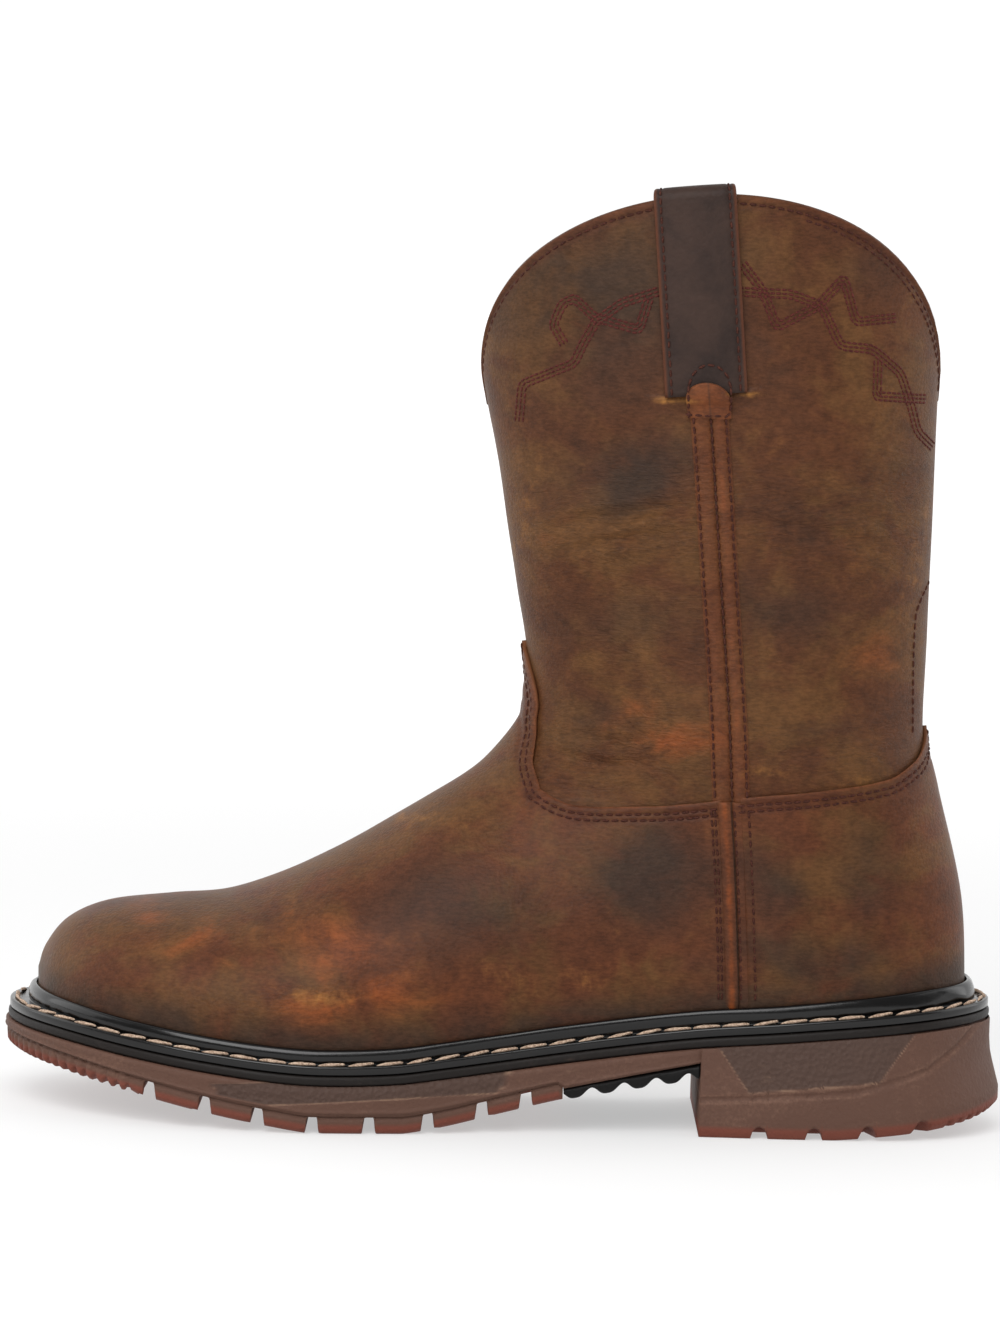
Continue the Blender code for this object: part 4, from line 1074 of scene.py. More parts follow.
beadLift, beadWide = weltCut["clear"] + weltCut["crown"], weltCut["bead"] - weltCut["crown"]
weltLevels = [innerLevel(weltCut["clear"], lambda x: featherZ(x) + 0.2)]
weltLevels[0][:, 2] = weltUnder(weltLevels[0][:, 0])
for lift, down in ((0.0, 1.0), (0.06, 0.4), (0.25, 0.08)):
    weltLevels.append(innerLevel(weltCut["clear"] + lift, lambda x: beadTop(x) - down))
for turn in np.linspace(0.0, math.pi / 2, 12):
    weltLevels.append(innerLevel(beadLift + beadWide * math.sin(turn),
                                 lambda x: ledge(x) + 1.0 + (beadTop(x) - ledge(x) - 1.0) * math.cos(turn)))
for lift, up in ((-0.1, 0.6), (-0.35, 0.3), (-0.2, 0.05), (0.1, 0.0)):
    weltLevels.append(innerLevel(beadLift + beadWide + lift, lambda x: ledge(x) + up))
footRow = weltLevels[-1]
edgeRow = levelLoop(reachAt(stations) - weltCut["edge"], ledge)
for share in (0.25, 0.5, 0.75):
    row = footRow + (edgeRow - footRow) * share
    row[:, 2] = ledge(row[:, 0]) - 0.25 * math.sin(math.pi * share)
    weltLevels.append(row)
for turn in np.linspace(0.0, math.pi / 2, 5):
    weltLevels.append(levelLoop(reachAt(stations) - weltCut["edge"] * (1 - math.sin(turn)),
                                lambda x: ledge(x) - weltCut["edge"] * (1 - math.cos(turn))))
weltLevels.append(levelLoop(reachAt(stations), lambda x: weltUnder(x) + 0.35))
weltLevels.append(levelLoop(reachAt(stations) - 0.35, weltUnder))
weltMesh = layered("welt_rubber", weltLevels[::-1], True)
weltMesh.materials.append(weltRubber)
welt = addObject("welt_rubber", weltMesh)
wear(welt, "welt_rubber", "welt")

# Midsole: a black plate with softened edges
midsoleCut = {
    "steps": ((0.0, -0.3), (0.07, 0.1), (0.22, 0.35), (0.5, 0.42), (0.78, 0.35), (0.93, 0.1), (1.0, -0.3)),
}
midsoleLevels = []
for share, d in midsoleCut["steps"]:
    midsoleLevels.append(levelLoop(
        reachAt(stations) + d, lambda x: soleAt("top", x) + soleShape["gap"] + soleShape["midsole"] * share))
midsoleMesh = layered("midsole_rubber", midsoleLevels)
midsoleMesh.materials.append(midsoleRubber)
midsole = addObject("midsole_rubber", midsoleMesh)
wear(midsole, "welt_rubber", "midsole")
print("welt ready")

# Outsole: moulded plate with sunk side panels, lugged forefoot and a low heel
outsoleCut = {
    "plate": ((0.0, 0.3), (0.06, 0.8), (0.16, 1.15), (0.3, 1.2), (0.42, 1.1), (0.62, 1.0), (0.78, 1.05),
              (0.84, 1.35), (0.9, 1.35), (0.94, 0.8), (0.97, 0.6), (1.0, 0.7)),
    "plateLevels": 30, "heelFrom": (58.0, 66.0), "heelTuck": -0.6,
    "panel": ((-88.1, 15.5), (-84.9, 8.8), (0.1, 14.0), (3.6, 22.1)),
    "panelDepth": 0.55,
    "lugWall": ((-0.3, 0.0), (0.1, 0.0), (0.3, 0.7), (0.85, 0.5), (1.0, -0.4)),
    "grooves": (-107.8, -90.4, -74.0, -57.2, -39.8, -21.8, -5.3, 8.2), "grooveHalf": 1.8, "grooveFrom": 13.0,
    "middleHalf": 1.44, "middleTo": 15.0, "toeMiddle": -114.0, "toeTeeth": 4.0, "toeCut": 1.5,
    # share of the heel's height, how far its side stands out there, and its back
    "heelWall": ((-0.14, 0.45, 0.45), (-0.11, 0.8, 0.8), (0.12, 0.8, 0.8), (0.3, 0.8, 1.2), (0.44, 1.0, 2.0),
                 (0.76, 1.4, 4.2), (0.92, 1.4, 4.2), (1.0, 0.6, 2.4)),
    "heelUnder": 0.1, "wallFrom": 3.3,
    "heelPanel": ((66.6, 30.2), (77.1, 15.2), (117.7, 19.3), (129.4, 36.0)), "heelPanelDepth": 0.5,
    "heelGroove": ((59.6, 12.6), (83.1, 14.1), (110.0, 16.1), (120.1, 18.9), (133.3, 23.4), (143.2, 30.5),
                   (150.1, 37.0)),
    "heelGrooveDepth": 0.8, "heelGrooveHalf": 0.75,
    "heelNotches": (80.7, 97.7, 114.4, 130.6), "notchHalf": 2.6, "notchHigh": 3.7,
    "heelMiddle": 108.0, "heelTeeth": 4.2, "teethFrom": 137.0, "teethHigh": 2.0,
}
cut = outsoleCut


def insideShape(corners, x, z, soft):
    # 1 inside a convex outline given in order, eased over soft at its sides
    corners = np.array(corners, float)
    inside = np.ones(x.shape)
    middle = corners.mean(0)
    for a, b in zip(corners, np.roll(corners, -1, 0)):
        n = np.array((b[1] - a[1], a[0] - b[0])) / np.linalg.norm(b - a)
        n = n if np.dot(middle - a, n) > 0 else -n
        inside = np.minimum(inside, step(-soft, soft, (x - a[0]) * n[0] + (z - a[1]) * n[1]))
    return inside


def linear(rows, at, column=1):
    table = np.array(rows, float)
    return np.interp(at, table[:, 0], table[:, column])


plateLevels, plateMarks = [], []
for share in np.linspace(1.0, 0.0, cut["plateLevels"]):
    out = linear(cut["plate"], share)
    height = lambda x: soleAt("top", x) + (plateUnder(x) - soleAt("top", x)) * share
    first = levelLoop(reachAt(stations) + out, height)
    sunk = insideShape(cut["panel"], first[:, 0], first[:, 2], 0.5) * (share < 0.82)
    inward = sunk * cut["panelDepth"]
    heelward = step(*cut["heelFrom"], first[:len(stations), 0])      # hidden by the heel's own wall
    outs = reachAt(stations) + out + (min(out, cut["heelTuck"]) - out) * heelward - inward[:len(stations)]
    plateLevels.append(levelLoop(outs, height))
    ring = insideShape(cut["panel"], first[:, 0], first[:, 2], 0.9)
    plateMarks.append(np.stack((sunk, np.exp(-((ring - 0.5) / 0.22) ** 2) * (share < 0.85)), 1))
plateAround = len(plateLevels[0])
plateMesh = meshOf("plate", np.concatenate(plateLevels), np.concatenate((
    loopFaces(len(plateLevels), plateAround, False), capFaces(0, plateAround, False),
    capFaces((len(plateLevels) - 1) * plateAround, plateAround, True))))
plateMarks = np.concatenate(plateMarks)
setNumbers(plateMesh, "panel", plateMarks[:, 0])
setNumbers(plateMesh, "worn", plateMarks[:, 1])


def fanned(side, turns, extra, centreX, wallShares, wallOut, wallTop, edgeHeight, underHeight, across):
    # one side of a block under the sole: its wall from top to bottom edge, then its underside in to the spine
    edge = rim(turns, side, reachAt(turns) + extra(turns))
    rows = []
    edgeZ = edgeHeight(edge[:, 0], turns)
    for share in wallShares:
        p = rim(turns, side, reachAt(turns) + wallOut(share, turns, edge[:, 0]))
        top = wallTop(p[:, 0])
        rows.append(np.column_stack((p, top + (edgeZ - top) * share)))
    spineX = np.clip(edge[:, 0], *centreX)
    spine = np.column_stack((spineX, midY(spineX)))
    start = rows[-1][:, :2]
    for v in across:
        p = start + (spine - start) * v
        rows.append(np.column_stack((p, underHeight(p[:, 0], p[:, 1], v, turns, edge[:, 0]))))
    return np.stack(rows)


def gridFaces(rows, cols, base, flip):
    grid = base + np.arange(rows * cols).reshape(rows, cols)
    a, b, c, d = grid[:-1, :-1], grid[:-1, 1:], grid[1:, 1:], grid[1:, :-1]
    return np.stack((a, d, c, b) if flip else (a, b, c, d), -1).reshape(-1, 4)


def spacedX(low, high, gap, edges, half, soft):
    # stations along the foot, closer at the sides of each groove
    x = list(np.arange(low, high, gap)) + [high]
    for at, h in zip(edges, half):
        x += [at + sign * (h + d) for sign in (-1, 1) for d in (-soft, -soft / 3, soft / 3, soft)]
    x = np.unique(np.round(np.clip(x, low, high), 3))
    return x[np.concatenate(((True,), np.diff(x) > 0.12))]


middleGrooves = [(a + b) / 2 for a, b in zip(cut["grooves"], cut["grooves"][1:])]
allGrooves = list(cut["grooves"]) + middleGrooves
grooveHalves = [cut["grooveHalf"]] * len(cut["grooves"]) + [cut["middleHalf"]] * len(middleGrooves)
lugX = spacedX(cut["toeMiddle"], soleShape["treadEnd"], 2.4, allGrooves, grooveHalves, 0.4)
across = np.linspace(0.0, 1.0, 45)[1:]


def grooveCut(x, y):
    # how deep the grooves are at a place: between the edge lugs, and shallower across the middle
    lug = soleShape["lugDepth"]
    deep = np.zeros(x.shape)
    outwards = step(cut["grooveFrom"] - 1.0, cut["grooveFrom"] + 0.6, np.abs(y - midY(x)))
    inwards = step(cut["middleTo"] + 0.8, cut["middleTo"] - 0.8, np.abs(y + 1))
    for at in cut["grooves"]:
        w = step(cut["grooveHalf"] + 0.4, cut["grooveHalf"] - 0.4, np.abs(x - at))
        deep = np.maximum(deep, (lug - 0.4) * w * outwards)
    for at in middleGrooves:
        w = step(cut["middleHalf"] + 0.4, cut["middleHalf"] - 0.4, np.abs(x - at))
        deep = np.maximum(deep, (lug - 1.4) * w * inwards)
    return deep


def teeth(turns, side, pitch, extra, low, high):
    # 0..1 notches at a pitch along the edge, between two stations
    fine = np.linspace(low, high, 400)
    edge = rim(fine, side, reachAt(fine) + extra)
    run = np.concatenate(((0.0,), np.cumsum(np.linalg.norm(np.diff(edge, axis=0), axis=1))))
    phase = np.interp(turns, fine, run) / pitch
    wave = step(0.35, 0.75, 0.5 - 0.5 * np.cos(2 * np.pi * phase))
    return np.where((turns >= low) & (turns <= high), wave, 0.0)


treadPoints, treadFaces, treadLow = [], [], []
for side in bothSides:
    toeEnd = float(turnWhere(np.array([cut["toeMiddle"]]), side, 0.5)[0])
    turns = np.concatenate((np.linspace(0.0, toeEnd, 121)[:-1], turnWhere(lugX, side, 0.5)))

    def wallOut(share, turns, x):
        return linear(cut["lugWall"], share) - 0.5 * teeth(turns, side, cut["toeTeeth"], 0.5, 0.0, toeEnd)

    def edgeHeight(x, turns):
        y = midY(x) + side * 40.0
        nick = cut["toeCut"] * teeth(turns, side, cut["toeTeeth"], 0.5, 0.0, toeEnd)
        return tread(x) + np.minimum(np.maximum(grooveCut(x, y), nick) + 0.45, soleShape["lugDepth"] - 0.35)

    def underHeight(x, y, v, turns, edgeX):
        nick = cut["toeCut"] * teeth(turns, side, cut["toeTeeth"], 0.5, 0.0, toeEnd) * step(0.16, 0.1, v)
        return tread(x) + np.maximum(grooveCut(x, y), nick)

    grid = fanned(side, turns, lambda a: 0.5, (cut["toeMiddle"], soleShape["treadEnd"]),
                  np.linspace(-0.3, 1.0, 14), wallOut, plateUnder, edgeHeight, underHeight, across)
    grid[:, -1, 0] = soleShape["treadEnd"]
    base = sum(len(p) for p in treadPoints)
    treadPoints.append(grid.reshape(-1, 3))
    treadFaces.append(gridFaces(grid.shape[0], grid.shape[1], base, side < 0))
    depth = np.clip((plateUnder(grid[..., 0]) - grid[..., 2]) / soleShape["lugDepth"], 0, 1)
    treadLow.append(step(0.35, 0.6, depth).ravel())
    ends = base + np.arange(grid.shape[0]) * grid.shape[1] + grid.shape[1] - 1
    if side == outerSide:
        outerEnds = ends
treadFaces.append(np.stack((outerEnds[:-1], ends[:-1], ends[1:], outerEnds[1:]), 1)[:, ::-1])
treadMesh = meshOf("tread", np.concatenate(treadPoints), np.concatenate(treadFaces))
setNumbers(treadMesh, "low", np.concatenate(treadLow))

heelX = spacedX(soleShape["breast"], cut["heelMiddle"], 0.8, cut["heelNotches"], [2.4] * 4, 0.9)
heelPoints, heelFaces, heelLow, heelWorn, heelPanel = [], [], [], [], []


def heelTop(x):
    return soleAt("top", x) - cut["heelUnder"]


for side in bothSides:
    start = turnWhere(heelX, side, 1.0)
    turns = np.concatenate((start, np.linspace(start[-1], math.pi, 131)[1:]))
    backFrom = float(turnWhere(np.array([cut["teethFrom"]]), side, 1.0)[0])

    def wallOut(share, turns, x):
        top = heelTop(x)
        z = top + (edgeHeight(x, turns) - top) * share
        level = (z - top + cut["wallFrom"]) / (heelGround(x) - top + cut["wallFrom"])
        sides, rear = linear(cut["heelWall"], level), linear(cut["heelWall"], level, 2)
        plain = sides + (rear - sides) * backShare(x)
        d = distanceTo(cut["heelGroove"], x, z)[0]
        groove = cut["heelGrooveDepth"] * np.exp(-(d / cut["heelGrooveHalf"]) ** 2)
        return plain - groove - cut["heelPanelDepth"] * insideShape(cut["heelPanel"], x, z, 0.5)

    def notchAt(x, turns):
        deep = np.zeros(x.shape)
        for at in cut["heelNotches"]:
            off = np.abs(x - at) / cut["notchHalf"]
            deep = np.maximum(deep, cut["notchHigh"] * np.sqrt(np.clip(1 - off ** 2, 0, 1)))
        rear = cut["teethHigh"] * teeth(turns, side, cut["heelTeeth"], 1.0, backFrom, math.pi)
        return np.maximum(deep, rear)

    def edgeHeight(x, turns):
        return heelGround(x) + notchAt(x, turns) + 0.3

    def underHeight(x, y, v, turns, edgeX):
        return heelGround(x) + notchAt(edgeX, turns) * step(0.34, 0.24, v)

    grid = fanned(side, turns, lambda a: 1.0, (soleShape["breast"], cut["heelMiddle"]),
                  np.linspace(0.0, 1.0, 46), wallOut, heelTop, edgeHeight, underHeight, across)
    grid[:, 0, 0] = soleShape["breast"]
    base = sum(len(p) for p in heelPoints)
    heelPoints.append(grid.reshape(-1, 3))
    heelFaces.append(gridFaces(grid.shape[0], grid.shape[1], base, side < 0))
    x, z = grid[..., 0], grid[..., 2]
    d = distanceTo(cut["heelGroove"], x, z)[0]
    heelLow.append(step(4.2, 2.6, z - heelGround(x)).ravel())
    heelPanel.append(insideShape(cut["heelPanel"], x, z, 0.5).ravel())
    ring = insideShape(cut["heelPanel"], x, z, 0.9)
    slanted = step(14.0, 17.0, z) * step(soleAt("top", x) - 0.2, soleAt("top", x) - 1.2, z)
    besideGroove = np.exp(-((d - 1.2) / 0.5) ** 2) * 0.35
    heelWorn.append((besideGroove + np.exp(-((ring - 0.5) / 0.2) ** 2) * slanted).ravel())
    ends = base + np.arange(grid.shape[0]) * grid.shape[1]
    if side == outerSide:
        outerEnds = ends
heelFaces.append(np.stack((outerEnds[:-1], ends[:-1], ends[1:], outerEnds[1:]), 1))
heelMesh = meshOf("heel", np.concatenate(heelPoints), np.concatenate(heelFaces))
setNumbers(heelMesh, "low", np.concatenate(heelLow))
setNumbers(heelMesh, "panel", np.concatenate(heelPanel))
setNumbers(heelMesh, "worn", np.concatenate(heelWorn))


outsoleMesh = gathered("outsole_rubber", [cleaned(plateMesh), cleaned(treadMesh), cleaned(heelMesh)],
                       ("low", "panel", "worn"))
outsoleMesh.materials.append(soleRubber)
outsole = addObject("outsole_rubber", outsoleMesh)
wear(outsole, "outsole_rubber", "outsole")

# Shank insert: rounded teeth across the arch
shankCut = {"deep": (3.1, 4.2), "toothAt": 23.4, "pitch": 9.93, "rise": 2.5, "stations": 90, "gap": 0.3}
shankEnds = (soleShape["treadEnd"] + shankCut["gap"], soleShape["breast"] - shankCut["gap"])
shankX = np.linspace(*shankEnds, shankCut["stations"])


def shankTop(x):
    return arch(x) - shankCut["gap"] - 0.012 * (x - soleShape["treadEnd"])


def shankUnder(x):
    share = (x - soleShape["treadEnd"]) / (soleShape["breast"] - soleShape["treadEnd"])
    wave = (0.5 - 0.5 * np.cos(2 * np.pi * (x - shankCut["toothAt"]) / shankCut["pitch"])) ** 1.6
    front, back = shankCut["deep"]
    return shankTop(x) - front - (back - front) * share - 0.4 + shankCut["rise"] * wave


shankRows = []
profile = ((-0.2, 0.0), (0.2, 0.25), (0.2, 0.6), (0.05, 0.8), (-0.4, 0.94), (-1.2, 1.0))
for side, rows in ((outerSide, profile), (innerSide, profile[::-1])):
    turns = turnWhere(shankX, side, 0.0)
    for d, share in rows:
        p = rim(turns, side, reachAt(turns) + d)
        p[:, 0] = shankX
        thick = shankUnder(shankX) - shankTop(shankX)
        shankRows.append(np.column_stack((p, shankTop(shankX) + thick * share)))
shankGrid = np.stack(shankRows)
rows, cols = shankGrid.shape[:2]
shankFaces = [gridFaces(rows, cols, 0, True)]
last = (rows - 1) * cols
i = np.arange(cols - 1)
shankFaces.append(np.stack((last + i, i, i + 1, last + i + 1), 1)[:, ::-1])
shankMesh = bpy.data.meshes.new("shank_rubber")
ringA = [k * cols for k in range(rows)]
ringB = [k * cols + cols - 1 for k in range(rows)]
shankFaces = np.concatenate(shankFaces).tolist() + [ringA, ringB[::-1]]
shankMesh.from_pydata((shankGrid.reshape(-1, 3) + seat) * mm, [], shankFaces)
shankMesh.update()
bm = bmesh.new()
bm.from_mesh(shankMesh)
bmesh.ops.recalc_face_normals(bm, faces=bm.faces)
bm.to_mesh(shankMesh)
bm.free()
shankMesh.materials.append(shankRubber)
shank = addObject("shank_rubber", shankMesh)
wear(shank, "shank_rubber", "shank_plate")

# Insole: a board with a soft, slightly dished top
insoleCut = {
    "thick": 3.2, "inset": -3.8,
    "steps": ((0.0, -0.3), (0.12, 0.0), (0.75, 0.0), (0.9, -0.25), (1.0, -0.9), (0.98, -6.0)),
}
insoleLevels = [levelLoop(insoleCut["inset"] + d, lambda x: weltUnder(x) + insoleCut["thick"] * share)
                for share, d in insoleCut["steps"]]
insoleMesh = layered("insole_board", insoleLevels)
insoleMesh.materials.append(liningLeather)
insole = addObject("insole_board", insoleMesh)
wear(insole, "insole_leather", "insole")
print("sole ready")


# Closed strips that lie on the leather: an over and an under face of the same grid
def stripMesh(name, over, under, flip, **marks):
    rows, cols = over.shape[:2]
    count = rows * cols
    low = np.arange(count, 2 * count).reshape(rows, cols)
    high = np.arange(count).reshape(rows, cols)
    faces = [gridFaces(rows, cols, 0, flip), gridFaces(rows, cols, count, not flip)]
    around = np.concatenate((high[0, :-1], high[:-1, -1], high[-1, :0:-1], high[:0:-1, 0]))
    beneath = np.concatenate((low[0, :-1], low[:-1, -1], low[-1, :0:-1], low[:0:-1, 0]))
    wall = np.stack((around, beneath, np.roll(beneath, -1), np.roll(around, -1)), 1)
    faces.append(wall[:, ::-1] if flip else wall)
    mesh = meshOf(name, np.concatenate((over.reshape(-1, 3), under.reshape(-1, 3))), np.concatenate(faces))
    for key, values in marks.items():
        setNumbers(mesh, key, np.tile(np.broadcast_to(values, (rows, cols)).ravel(), 2))
    return cleaned(mesh)


def edgeDrop(across, half, radius):
    # how far the rounded edge of a strip lies below its face
    inside = np.clip((half - np.abs(across)) / radius, 0, 1)
    return 1 - np.sqrt(np.clip(1 - (1 - inside) ** 2, 0, 1))


# Side seams: a lapped strip in two lobes, a tab over the strap's foot, a rolled piping between the panels
seamCut = {
    "gap": 0.3, "half": 5.9, "foot": 104.6, "shoulder": 223.6,
    "tabHalf": 6.7, "tabTop": 234.4, "tabRound": 5.2, "tabHigh": 1.3, "strapLift": 2.35,
    "climb": (226.0, 230.4),            # where the tab climbs onto the strap
    "high": 0.85, "soft": 1.9, "crease": 0.7, "lobe": 0.25, "columns": 34,
    "pipeTop": 105.2, "pipeFoot": 39.0, "pipeWide": 4.3, "pipeLow": 1.5, "pipeHigh": 1.15, "lap": 2.95,
}


def seamPieces(side, name):
    c = seamCut
    u = np.sin(np.linspace(-math.pi / 2, math.pi / 2, c["columns"]))
    z = np.concatenate((c["tabTop"] - c["tabRound"] * (1 - np.cos(np.linspace(0.06, math.pi / 2, 12))),
                        np.linspace(c["tabTop"] - c["tabRound"], c["shoulder"], 9)[1:],
                        np.linspace(c["shoulder"] - 0.4, c["foot"], 110)))
    arc = np.clip((z - c["tabTop"] + c["tabRound"]) / c["tabRound"], 0, 1)
    onTab = step(c["shoulder"] - 0.5, c["shoulder"], z)
    half = c["half"] + (c["tabHalf"] - c["half"]) * onTab
    half = half * np.sqrt(np.clip(1 - arc ** 2, 0.004, 1))
    over = step(*c["climb"], z)[:, None] * c["strapLift"]
    d = half[:, None] * u
    lobes = c["lobe"] * np.cos(2 * math.pi * u) * -1 - c["crease"] * np.exp(-((d - 0.3) / 0.55) ** 2)
    face = (c["high"] + lobes) * (1 - onTab[:, None]) + (c["tabHigh"] + 0.25 * (1 - u ** 2)) * onTab[:, None]
    soft = c["soft"] + (0.9 - c["soft"]) * onTab[:, None]
    face = face - (c["high"] - 0.05) * edgeDrop(d, half[:, None], soft)
    across, up = seamX(z)[:, None] + d, np.repeat(z[:, None], len(u), 1)
    s, t = find(across, up)
    base = over + foldDepth(across, up, np.full(up.shape, float(side)))
    marks = pullsAndPaintedLightAt(across, up, np.full(up.shape, float(side)))
    # Painted shade down the strip's middle crease; a painted highlight on its right lobe, and the tab's own
    # lighter tone.
    creaseShade = 0.7 * np.exp(-((d - 0.35) / 0.5) ** 2) * (1 - 0.4 * onTab[:, None])
    highlightAndTabTone = np.exp(-((d - 2.6) / 1.3) ** 2) * 0.35 * (1 - onTab[:, None]) + 0.3 * onTab[:, None]
    marks["darkPull"] = np.maximum(marks["darkPull"] * 0.5, creaseShade)
    marks["rustPull"] = np.maximum(marks["rustPull"], highlightAndTabTone)
    strip = stripMesh(name + "_strip", lifted(s, t, side, c["gap"] + face + base),
                      lifted(s, t, side, 0.05 + base * 0.9), side > 0, **marks)
    zp = np.linspace(c["pipeTop"], c["pipeFoot"], 70)[:, None]
    dp = np.concatenate((np.linspace(-c["pipeWide"], -0.15, 22), np.linspace(0.0, c["lap"], 14)))[None, :]
    across, up = seamX(zp) + dp, np.repeat(zp, dp.shape[1], 1)
    s, t = find(across, up)
    bow = np.sqrt(np.clip(1 - (2 * dp / c["pipeWide"] + 1) ** 2, 0, 1))
    rolled = c["pipeLow"] + c["pipeHigh"] * bow * (0.3 + 0.7 * step(41.5, 46.0, zp))
    lapped = panelTop - 0.65 * np.exp(-(dp / 0.45) ** 2)
    tall = np.where(dp < 0.0, rolled, lapped) * (0.85 + 0.15 * step(40.0, 43.0, zp))
    low = np.minimum(np.where(dp < -panelEdges["channel"], panelTop, 0.0) + 0.05, tall - 0.1)
    marks = pullsAndPaintedLightAt(across, up, np.full(up.shape, float(side)))
    # The pipe's rust tone with a painted highlight along its ridge, and painted shade in the join beside the
    # lap.
    onPipe = np.exp(-((dp + c["pipeWide"] / 2) / 1.3) ** 2)
    marks["darkPull"] = np.maximum(marks["darkPull"] * (1 - 0.8 * onPipe), 0.7 * np.exp(-(dp / 0.45) ** 2))
    marks["rustPull"] = np.maximum(marks["rustPull"], 0.85 * onPipe)
    pipe = stripMesh(name + "_pipe", lifted(s, t, side, tall), lifted(s, t, side, low), side > 0, **marks)
    mesh = gathered(name, [strip, pipe])
    mesh.materials.append(seamLeather)
    return addObject(name, mesh)


for side, word in ((outerSide, "outer"), (innerSide, "inner")):
    wear(seamPieces(side, "seam_" + word), "seam_leather", "side_seam_" + word)

# Pull straps: folded over the collar, with rounded edges and a sunk stitch line
strapCut = {
    "thick": 1.8, "half": 12.4, "foot": 230.6, "crown": 0.8, "out": 0.7, "back": -3.2,
    "middle": (56.4, 231.0), "lean": 0.092, "tilt": 0.1, "shift": {outerSide: 0.0, innerSide: 3.0},
    "stitchIn": 2.1, "columns": 40, "legRows": 40,
}


def strapMiddle(z):
    x, height = strapCut["middle"]
    return x - (z - height) * strapCut["lean"]


def collarZ(x):
    x = np.asarray(x, float)

    def before(z):
        s, t = find(x, z)
        return s < collarEnd(t)

    return bisect(np.full(x.shape, 200.0), np.full(x.shape, 300.0), before, 26)


def strapPath(side):
    # lift and height down the middle of the strap's thickness, and the way its outer face looks
    c = strapCut
    columns = np.linspace(-c["half"], c["half"], 5)
    top = float(np.max(collarZ(strapMiddle(290.0) + c["shift"][side] + columns) - c["tilt"] * columns))
    legs = np.linspace(c["foot"], top - 1.0, c["legRows"])
    ones, zeros = np.ones(c["legRows"]), np.zeros(c["legRows"])
    turn = np.linspace(0.0, math.pi, 17)[1:-1]
    mid = (c["out"] + c["back"]) / 2
    radius = (c["out"] - c["back"] + c["thick"]) / 2
    rise = 1.0 + c["crown"] + c["thick"] / 2
    lift = np.concatenate((ones * (mid + radius), mid + radius * np.cos(turn), ones * (mid - radius)))
    z = np.concatenate((legs, top - 1.0 + rise * np.sin(turn), legs[::-1]))
    lookLift = np.concatenate((ones, np.cos(turn), -ones))
    lookZ = np.concatenate((zeros, np.sin(turn), zeros))
    return lift, z, lookLift, lookZ


def strapAt(side, d, lift, z):
    c = strapCut
    s, t = find(strapMiddle(z) + c["shift"][side] + d, z + c["tilt"] * d)
    return lifted(s, t, side, lift)


def strapPiece(side, name):
    c = strapCut
    lift, z, lookLift, lookZ = (v[:, None] for v in strapPath(side))
    d = c["half"] * np.sin(np.linspace(-math.pi / 2, math.pi / 2, c["columns"]))[None, :]
    shape = np.broadcast_shapes(lift.shape, d.shape)
    body = c["thick"] / 2 * (1 - 0.8 * edgeDrop(d, c["half"], 0.9))
    sewn = np.exp(-((np.abs(d) - c["half"] + c["stitchIn"]) / 0.55) ** 2)
    face = body + 0.22 * (1 - (d / c["half"]) ** 2) - 0.32 * sewn
    grids = []
    for depth in (face, -body):
        grids.append(strapAt(side, np.broadcast_to(d, shape), lift + lookLift * depth, z + lookZ * depth))
    rubbed = step(c["half"] - 1.3, c["half"] - 0.5, np.abs(d)) * 0.8
    mesh = stripMesh(name, grids[0], grids[1], side < 0, nearEdge=rubbed)
    mesh.materials.append(strapLeather)
    return addObject(name, mesh)


for side, word in ((outerSide, "outer"), (innerSide, "inner")):
    wear(strapPiece(side, "strap_" + word), "strap_leather", "pull_strap_" + word)
print("straps ready")

# Stitches: rows are paths on the leather, laid out as stitches by one node tree
threadCut = {
    "edge": {"pitch": 2.9, "long": 2.3, "wide": 0.78, "high": 0.66, "slant": 0.0},
    "ornament": {"pitch": 1.9, "long": 1.8, "wide": 0.74, "high": 0.5, "slant": 0.0},
    "welt": {"pitch": 9.0, "long": 8.5, "wide": 1.05, "high": 1.25, "slant": 0.09},
}


